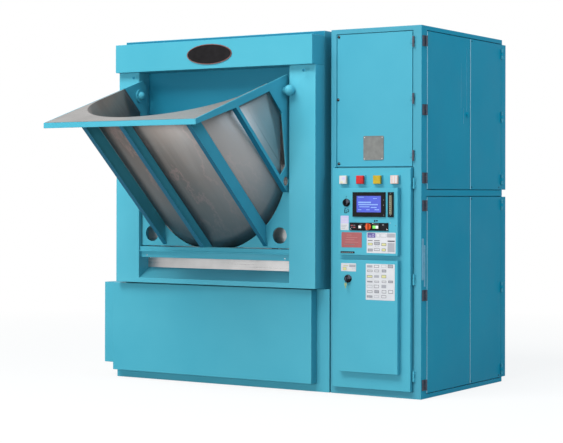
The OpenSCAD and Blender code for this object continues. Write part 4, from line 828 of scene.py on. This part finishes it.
SCREEN_LINES = ((12, 54, 86, 9), (12, 42, 132, 7), (18, 30, 70, 5), (96, 26, 40, 6), (112, 80, 26, 3),
                (10, 88, 40, 3), (10, 13, 22, 4), (66, 13, 22, 4), (122, 13, 30, 5))
BAR_MARKS = ((-122, 4, 15, 5, 1), (-103, 5, 12, 5), (-122, -7, 12, 5), (-105, -8, 14, 6, 1), (-62, 12, 20, 3),
             (30, 15, 40, 3), (92, 8, 12, 8), (-30, 0, 5, 2), (24, 18, 8, 3))
KEY_MARKS = ((43, -130, 6, 5), (49, -127, 4, 5), (43, -152, 5, 20), (43, -152, 20, 4), (58, -152, 4, 10),
             (62, -146, 13, 4), (62, -134, 12, 4), (71, -146, 4, 14), (53, -140, 6, 4))
UPPER_CHART = (
    (66, 89, 94, 116, GREY, WHITE), (94, 132, 94, 116, GREY, WHITE), (137, 190, 94, 118, GREY, GREY),
    (8, 40, 46, 60, INK, YELLOW), (8, 40, 10, 26, INK, GREY), (50, 88, 50, 66, INK, GREY),
    (56, 84, 36, 48, GREY, WHITE), (50, 88, 14, 28, INK, WHITE), (100, 132, 44, 60, INK, YELLOW),
    (102, 128, 12, 28, INK, YELLOW), (141, 188, 8, 62, GREY, GREY), (141, 188, 68, 76, INK, INK),
    (8, 40, 72, 76, INK, INK), (50, 88, 72, 76, INK, INK))
LOCK_CELLS = (
    (34, 58, -64, -46, INK, YELLOW), (78, 120, -44, -30, INK, GREY), (36, 70, -40, -34, GREY, YELLOW),
    (66, 92, -62, -56, YELLOW, WHITE), (98, 120, -62, -52, GREY, WHITE))


def add_printed_sheet(bm, left, foot, width, height, face):
    add_tiles(bm, left, foot, [(0, 0, width, height)], face, LABEL_DEPTH, 2.5)


def screens():
    """Touch screen and narrow display, their glass just below the frames, and marks on the frames."""
    low, high = millimetres("displays")
    glass = low.y + 0.5
    x, z = low.x + 28.4, low.z + 27.4
    bm = bmesh.new()
    add_plate(bm, (x, glass, z), (low.x + 192.6, glass + 1.4, high.z - 22.4), 1.5)
    add_tiles(bm, x, z, SCREEN_LINES, glass, (0.3, 0.4), 0.8, 1)
    door_piece("screen_glass", bm, ["screen_glass", "screen_pale"])
    bm = bmesh.new()
    add_plate(bm, (high.x - 27.6, glass, low.z + 15.4), (high.x - 10.4, glass + 1.4, high.z - 17.4), 1.5)
    ticks = [(-25, 26 + step * 11.5, 5 + step % 3, 1.6) for step in range(9)]
    add_tiles(bm, high.x, low.z, ticks, glass, (0.2, 0.3), 0.5, 1)
    door_piece("strip_glass", bm, ["strip_glass", "pale_plastic"])
    bm = bmesh.new()
    for x, drop in ((low.x + 212, 46), (low.x + 212, 77), (low.x + 212, 135), (high.x - 19, 136),
                    (high.x - 19, 7)):
        add_stud(bm, (x, high.z - drop), low.y, (2.2, 2.8), (0.5, 0, -0.4))
    door_piece("display_marks", bm, "grey_plastic")


def switch_bar():
    """Printed marks, a screw at each end, and the lamp caps beside the rotary switch."""
    low, high = millimetres("switch_bar")
    face = low.y + 2
    x, z = (low.x + high.x) / 2, (low.z + high.z) / 2
    bm = bmesh.new()
    add_tiles(bm, x, z, BAR_MARKS, face, (0.4, 0.3), 1.0)
    for end in (-124, 124):
        add_stud(bm, (x + end, z - 16), face, (2.0, 3.0), (0.8, 0, -0.3), 2, 20)
    door_piece("bar_marks", bm, ["grey_plastic", "label_red", "ground_steel"])
    bm = bmesh.new()
    for x0, x1, z0, z1, index in ((-67, -49, -10, 6, 0), (29, 49, -11, 7, 1), (50, 67, -11, 7, 0)):
        verts = add_block(bm, (x + x0, low.y - 2.4, z + z0), (x + x1, low.y + 0.4, z + z1))
        finish_faces(verts, index)
        ease(bm, edges_of(verts), 0.9)
    door_piece("lamp_caps", bm, ["white_lamp", "green_lamp"])


def control_panel_labels():
    """Marks, plates and the upper chart, measured from the panel's upper left corner."""
    low, high = millimetres("control_panel")
    left, top, face = low.x, high.z, low.y
    bm = bmesh.new()
    for x, drop, radius, index in ((56, 54, 2.6, 0), (66, 222, 2.4, 0), (343, 152, 2.2, 0),
                                   (392, 222, 2.6, 0), (354, 208, 2.4, 1)):
        add_stud(bm, (left + x, top - drop), face, (radius * 0.7, radius), (0.6, 0, -0.3), index)
    add_tiles(bm, left, top, ((246, -202, 8, 11), (258, -199, 13, 7)), face, (0.5, 0.3), 0.8)
    add_tiles(bm, left, top, KEY_MARKS, face, (0.4, 0.3), 0.9)
    door_piece("panel_marks", bm, ["black_plastic", "pale_plastic"])

    bm = bmesh.new()
    add_tiles(bm, left, top, [(17, -253, 55, 44)], face, LABEL_DEPTH, 3.0)
    add_tiles(bm, left, top, [(17, -213, 55, 46)], face, (0.9, 0.1), 3.0, LAVENDER)
    add_cells(bm, left, top, [(27, 58, -204, -182, WHITE, LAVENDER)], face - 0.9)
    lines = [(22, -226 - row * 9, 38 - row * 6, 3) for row in range(3)]
    add_tiles(bm, left, top, lines, face, (1.1, -0.6), 0.7, GREY)
    door_piece("key_label", bm, LABEL)

    bm = bmesh.new()
    add_tiles(bm, left, top, [(24, -356, 139, 90)], face, (1.6, 0.3), 4.0)
    lines = [(60 - row * 4, -284 - row * 14, width, 3) for row, width in enumerate((34, 78, 60, 92, 70))]
    add_tiles(bm, left, top, lines, face, (1.9, -1.4), 0.8, 1)
    for x in (30, 157):
        for drop in (273, 349):
            add_stud(bm, (left + x, top - drop), face, (1.8, 2.8), (2.6, 1.7, 1.0), 2, 18)
    door_piece("red_plate", bm, ["label_red", "label_rose", "grey_plastic"])

    bm = bmesh.new()
    add_tiles(bm, left, top, [(18, -391, 95, 11)], face, (2.2, 0.3), 2.0)
    add_tiles(bm, left, top, [(24 + step * 14, -389, 10, 5) for step in range(6)], face, (2.5, -2.0), 0.8, 1)
    door_piece("type_strip", bm, ["black_plastic", "grey_plastic"])

    bm = bmesh.new()
    left += 197
    foot = top - 387
    ink = face - 0.8
    add_printed_sheet(bm, left, foot, 194, 122, face)
    add_cells(bm, left, foot, [(5, 59, 91, 119, BLUE, BLUE)], ink)
    add_cells(bm, left, foot, ((14, 30, 97, 107, LAVENDER, BLUE), (37, 50, 98, 113, LAVENDER, BLUE)),
              ink - 0.2)
    add_cells(bm, left, foot, UPPER_CHART, ink)
    door_piece("chart_upper", bm, LABEL)


def lower_panel_labels():
    """Small label above the lock and the chart of boxes, measured from the panel's upper left corner."""
    low, high = millimetres("lower_panel")
    left, top, face = low.x, high.z, low.y
    ink = face - 0.8
    bm = bmesh.new()
    add_printed_sheet(bm, left + 21, top - 70, 103, 48, face)
    add_cells(bm, left, top, LOCK_CELLS, ink, 1.4)
    door_piece("lock_label", bm, LABEL)
    bm = bmesh.new()
    left += 191
    foot = top - 236
    add_printed_sheet(bm, left, foot, 195, 214, face)
    columns = ((8, 45), (56, 94), (106, 138), (149, 188))
    rows = ((192, 206), (166, 178), (132, 146), (104, 112), (72, 88), (42, 56), (14, 26))
    for row, (z0, z1) in enumerate(rows):
        for column, (x0, x1) in enumerate(columns):
            if column == 3 and row in (1, 2, 4, 6):
                continue
            fill = YELLOW if row == 2 and column in (0, 2) else GREY if (row + column) % 3 == 0 else WHITE
            line = INK if (row + 2 * column) % 4 else GREY
            cell = (x0 + row % 2 * 3, x1 - column % 2 * 5, z0, z1 + column * 2, line, fill)
            add_cells(bm, left, foot, [cell], ink)
    door_piece("chart_lower", bm, LABEL)


def button_lenses():
    """Clear-edged lens set on each square button, two of them with small printed marks."""
    stand = 0.9
    lenses = (
        ("white_button", ["label_white", "label_lavender", "label_yellow"],
         (((24, 26, 18, 16), 2.0, 1), ((8, 8, 18, 6), 1.5, 2))),
        ("red_button", ["red"], ()),
        ("yellow_button", ["yellow"], ()),
        ("cream_button", ["label_white", "cream_button"],
         (((9, 5, 7, 40), 1.5, 1), ((26, 5, 7, 40), 1.5, 1))))
    for node, finish, marks in lenses:
        low, high = millimetres(node)
        bm = bmesh.new()
        add_plate(bm, (low.x + 4, low.y - stand, low.z + 4), (high.x - 4, low.y + 0.5, high.z - 4), 3.5)
        for row, corner, index in marks:
            add_tiles(bm, low.x, low.z, [row], low.y - stand, (0.2, 0.3), corner, index)
        ease(bm, bm.edges[:], 0.25, 1)
        outward_piece("lens_" + node, bm, node, finish)


def round_locks():
    """Key switch and door lock: a turned black body with a dished face and a key in it."""
    seat = millimetres("control_panel")[0].y - 0.3
    body = ((24, 0), (24, -3), (22.5, -5), (22.5, -10), (20, -14), (15, -14), (13, -11), (0, -11))
    barrel = ((0, -10), (8, -10), (8, -13.4), (7, -14), (0, -14))
    for node in ("key_switch", "door_lock"):
        low, high = millimetres(node)
        x, z = (low.x + high.x) / 2, (low.z + high.z) / 2
        stem = ((0, high.y), (6, high.y), (6, seat))
        bm = bmesh.new()
        add_turned(bm, (x, z), stem + tuple((radius, seat + y) for radius, y in body))
        add_turned(bm, (x, z), [(radius, seat + y) for radius, y in barrel], 1, 32)
        add_plate(bm, (x - 1.6, low.y, z - 12), (x + 1.6, seat - 12, z + 12), 5.0,
                  int(node == "door_lock"), 0, 4)
        made = outward_piece("turned_" + node, bm, node, ["black_plastic", "zinc"])
        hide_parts(node)
    spare_key(x, low.y + 5, z)


def spare_key(x, front, z):
    """Second key on a ring, hanging from the one in the door lock."""
    bm = bmesh.new()
    bmesh.ops.create_circle(bm, segments=12, radius=1.0 * MM)
    bmesh.ops.translate(bm, verts=bm.verts, vec=(10 * MM, 0, 0))
    bmesh.ops.spin(bm, geom=bm.verts[:] + bm.edges[:], cent=(0, 0, 0), axis=(0, 0, 1), angle=FULL_TURN,
                   steps=32, use_merge=True)
    for vert in bm.verts:
        vert.co = Vector((vert.co.z, vert.co.x, vert.co.y))
    bmesh.ops.translate(bm, verts=bm.verts, vec=Vector((x - 1.0, front, z - 15)) * MM)
    add_plate(bm, (x - 9, front - 1.2, z - 42), (x + 6, front + 1.2, z - 23), 5.0, 0, 1, 5)
    add_plate(bm, (x - 4.5, front - 1.0, z - 56), (x + 1.5, front + 1.0, z - 40), 1.5)
    outward_piece("spare_key", bm, "door_lock", "brass")


def badge():
    """Bare oval plate: a raised reddish rim round a crowned black face."""
    rim = 5.0
    low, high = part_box("badge_plate")
    middle_x, middle_z = (low.x + high.x) / 2, (low.z + high.z) / 2
    half = (high - low) / 2
    bm = bmesh.new()
    made = bmesh.ops.create_circle(bm, cap_ends=True, segments=120, radius=1.0)["verts"]
    bmesh.ops.scale(bm, verts=made, vec=(half.x, half.z, 1.0))
    bmesh.ops.rotate(bm, verts=made, cent=(0, 0, 0), matrix=Matrix.Rotation(QUARTER_TURN, 3, "X"))
    bmesh.ops.translate(bm, verts=made, vec=(middle_x, high.y, middle_z))
    grown = bmesh.ops.extrude_face_region(bm, geom=bm.faces[:])["geom"]
    front = [part for part in grown if isinstance(part, bmesh.types.BMFace)][0]
    bmesh.ops.translate(bm, verts=front.verts[:], vec=(0.0, low.y - high.y, 0.0))
    for face in bm.faces:
        face.material_index = 1
    close_up(bm)
    inset(bm, front, rim)
    inset(bm, front, 1.2, -1.8)
    inset(bm, front, 12.0, 0.5)
    for face in bm.faces:
        spot = face.calc_center_median()
        inward = (spot.x - middle_x) ** 2 / (half.x - rim * MM) ** 2
        inward += (spot.z - middle_z) ** 2 / (half.z - rim * MM) ** 2
        if inward < 0.985 and spot.y < high.y - 1e-4:
            face.material_index = 0
    made = outward_piece("badge", bm, "machine", ["badge_black", "badge_rim"])
    round_edges(made, 0.8)
    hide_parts("badge_plate")


def door_fittings():
    """Captive screws and the square grey plate on the upper front door."""
    low, high = millimetres("upper_door")
    face = CABINET_FRONT
    ring = ((0, -3), (3, -3), (4.6, -5), (6.6, -5), (8.6, -3), (9.4, 0), (9.4, 0.6))
    bm = bmesh.new()
    for x, z in ((low.x + 12, high.z - 12), (low.x + 7, low.z + 405), (low.x + 14, low.z + 18)):
        add_turned(bm, (x, z), [(radius, face + y) for radius, y in ring], 0, 32)
        add_stud(bm, (x, z), face, (3.2, 3.8), (4.4, 3.4, 2), 1, 24)
        add_plate(bm, (x - 3.4, face - 4.6, z - 0.6), (x + 3.4, face - 4.2, z + 0.6), 0.3)
    outward_piece("captive_screws", bm, "upper_door", ["black_plastic", "grey_plastic"])

    left = CABINET_CORNER - 390
    bm = bmesh.new()
    add_plate(bm, (left, face - 3.0, 1409), (left + 138, face + 0.3, 1553), 6.0)
    front = front_face(bm.faces)
    inset(bm, front, 4.0)
    inset(bm, front, 1.2, -1.0)
    for x in (9, 129):
        for z in (1418, 1544):
            add_stud(bm, (left + x, z), face, (2.4, 3.4), (4.2, 3.2, 1.0), 1, 20)
    outward_piece("door_plate", bm, "upper_door", ["door_plate", "ground_steel"])


SCREW_HEAD = ((0.0, -2.6), (2.6, -2.6), (4.6, -1.5), (5.2, 0.0), (5.2, 0.6))
LEFT, RIGHT, FRONT, BACK, UP = (-1, 0, 0), (1, 0, 0), (0, -1, 0), (0, 1, 0), (0, 0, 1)


def screws(name, body, spots, toward, finish="ground_steel", scale=1.0):
    """Pan-head screws with a cross slot at (x, y, z) spots, in millimetres, facing one way."""
    bm = bmesh.new()
    turn = Vector(FRONT).rotation_difference(Vector(toward)).to_matrix()
    for spot in spots:
        part = bmesh.new()
        add_turned(part, (0, 0), [(r * scale, y * scale) for r, y in SCREW_HEAD], 0, 20)
        for wide, tall in ((2.6, 0.5), (0.5, 2.6)):
            add_plate(part, (-wide * scale, -2.75 * scale, -tall * scale),
                      (wide * scale, -2.3 * scale, tall * scale), 0.2 * scale, 1)
        bmesh.ops.rotate(part, verts=part.verts, cent=(0, 0, 0), matrix=turn)
        bmesh.ops.translate(part, verts=part.verts, vec=Vector(spot) * MM)
        close_up(part)
        mesh = bpy.data.meshes.new("one screw")
        part.to_mesh(mesh)
        part.free()
        bm.from_mesh(mesh)
        bpy.data.meshes.remove(mesh)
    piece(name, bm, body, [finish, "black_plastic"])


def spaced(first, last, inwards, count):
    """Evenly spaced places between two ends, each first moved inwards."""
    start, span = first + inwards, last - first - 2 * inwards
    return [start + span * i / (count - 1) for i in range(count)]


def ends(first, last, inwards):
    return first + inwards, last - inwards


def all_screws():
    low, high = millimetres("housing_rear_cover")
    spots = [(x, high.y, z) for x in ends(low.x, high.x, 14) for z in spaced(low.z, high.z, 30, 8)]
    spots += [(x, high.y, high.z - 14) for x in spaced(low.x, high.x, 120, 6)]
    screws("rear_cover_screws", "machine", spots, BACK)
    low, high = millimetres("rear_covers")
    lower_top, upper_foot = 1190, 1235
    spots = []
    for foot, top in ((low.z, lower_top), (upper_foot, high.z)):
        spots += [(x, high.y, z) for x in ends(low.x, high.x, 16) for z in spaced(foot, top, 24, 5)]
    screws("cabinet_cover_screws", "machine", spots, BACK)
    low, high = millimetres("housing_top_panel")
    spots = [(x, y, high.z) for x in ends(low.x, high.x, 14) for y in spaced(low.y, high.y, 30, 6)]
    screws("top_screws", "machine", spots, UP)
    low, high = millimetres("housing_side_panels")
    spots = [(low.x, y, z) for y in ends(low.y, high.y, 16) for z in spaced(low.z, high.z, 40, 7)]
    screws("side_screws", "machine", spots, LEFT)
    low, high = millimetres("exhaust_collar")
    spots = [(x, low.y + 3, z) for x in ends(low.x, high.x, 12) for z in ends(low.z, high.z, 12)]
    screws("collar_screws", "machine", spots, BACK)
    low, high = millimetres("lint_drawer")
    left = millimetres("lint_box")[0].x
    spots = [(left, y, z) for y in ends(low.y, high.y, 14) for z in ends(low.z, high.z, 12)]
    screws("drawer_screws", "lint_drawer", spots, LEFT)
    low, high = millimetres("mouth_panel")
    spots = [(x, low.y, z) for x in ends(low.x, high.x, 12) for z in spaced(low.z + 20, high.z, 40, 4)]
    screws("mouth_screws", "machine", spots, FRONT)
    for node in ("side_upper_rear_door", "side_lower_rear_door"):
        low, high = millimetres(node)
        places = ((low.y + 22, low.z + 14), (high.y - 40, low.z + 14), (low.y + 22, high.z - 14))
        spots = [(CABINET_CORNER, y, z) for y, z in places]
        screws("fixings_" + node, node, spots, RIGHT, finish="black_plastic", scale=0.9)
    low, high = millimetres("front_frame")
    column_face = -705
    spots = [(x, column_face, high.z - 36) for x in (low.x + 171, high.x - 60)]
    # The plugs under the header take the darker, shaded copy of the teal.
    screws("column_plugs", "machine", spots, FRONT, "thin_teal", 1.8)
    low, high = millimetres("outlet_ledge")
    spots = [(x, low.y + 20, low.z + 14) for x in (high.x - 46, low.x + 46)]
    screws("ledge_screw", "machine", spots, FRONT, scale=0.8)


def add_strips(bm, root, *rows):
    """Upright strips on the cabinet's right side, from rows of start, end, foot, top, stand and corner."""
    for start, end, foot, top, stand, corner in rows:
        add_plate(bm, (CABINET_CORNER - root, CABINET_FRONT + start, foot),
                  (CABINET_CORNER + stand, CABINET_FRONT + end, top), corner, 0, 0)


def edge_beads():
    """Pale strips along the side doors' seams that paint a highlight on their edges, lighter teal folds on the
    upper front door, and a faded patch on the corner post.
    """
    for door, seam in (("front_door", 73.5), ("rear_door", 655.5)):
        for level in ("side_upper_", "side_lower_"):
            low, high = millimetres(level + door)
            bm = bmesh.new()
            # Painted highlight: a pale strip along each side door's seam.
            add_strips(bm, 0.6, (seam - 3, seam + 3, low.z + 1.2, high.z - 1.2, 0.35, 0.5))
            ease(bm, bm.edges[:], 0.15, 1)
            outward_piece("edge_" + level + door, bm, level + door, "worn_edge")
    door_top = millimetres("side_upper_front_door")[1].z
    bm = bmesh.new()
    add_strips(bm, 0.6, (598, 601, 1715, door_top - 60, 1.6, 0.7), (552, 556, 1640, 1735, 2.6, 0.8),
               (520, 522.5, 1735, 2010, 1.4, 0.7))
    ease(bm, bm.edges[:], 0.3, 1)
    # These folds are a lighter teal than the side doors round them.
    outward_piece("door_folds", bm, "side_upper_front_door", "rubbed_teal")
    bm = bmesh.new()
    add_strips(bm, 0.4, (5, 30, 700, 945, 0.5, 6.0), (34, 50, 661, 905, 0.6, 4.0))
    outward_piece("post_tape", bm, "machine", "faded_teal")


def electrical_gear():
    """Rails, ducts and terminals round the contactor blocks on the mounting plate."""
    low, high = millimetres("electrics")
    back = millimetres("mounting_plate")[0].y
    rows = [low.z + row * (high.z - low.z - 90) / 2 for row in range(3)]
    bm = bmesh.new()
    for z in rows:
        add_plate(bm, (low.x - 20, back - 7.5, z + 27), (high.x + 8, back - 0.3, z + 62), 1.0, 0, 0)
    outward_piece("rails", bm, "machine", "galvanised")
    bm = bmesh.new()
    for z in rows:
        z += 108
        add_plate(bm, (low.x - 30, back - 42, z), (high.x + 8, back - 0.3, z + 40), 2.0, 0, 0)
        for step in range(30):
            x = low.x - 22 + step * 16.4
            add_plate(bm, (x, back - 43, z - 0.6), (x + 7, back - 8, z + 40.6), 0.6, 1, 0)
    outward_piece("wire_ducts", bm, "machine", ["pale_plastic", "grey_plastic"])
    bm = bmesh.new()
    width, pitch = 62, 70
    units = [low.x + unit * pitch for unit in range(round((high.x - low.x - width) / pitch) + 1)]
    for z in rows:
        for x in units:
            add_tiles(bm, x, z, [(12, 26, 38, 38)], low.y, (6, 0.3), 3.0)
            add_tiles(bm, x, z, [(22, 40, 18, 10)], low.y, (9, -5.5), 2.0, 1)
            for side in (6, 84):
                for step in range(3):
                    add_stud(bm, (x + 15 + step * 16, z + side), low.y, (4, 5), (1.6, 0, -0.4), 2, 14)
    outward_piece("contactor_fronts", bm, "machine",
                 ["grey_plastic", "pale_plastic", "ground_steel"])


aim_camera()
set_stage()
set_world()
set_lights()
dress_nodes()
scoop()
screens()
switch_bar()
control_panel_labels()
lower_panel_labels()
button_lenses()
round_locks()
badge()
door_fittings()
all_screws()
edge_beads()
electrical_gear()

view = bpy.context.scene.view_settings
view.view_transform = "Standard"
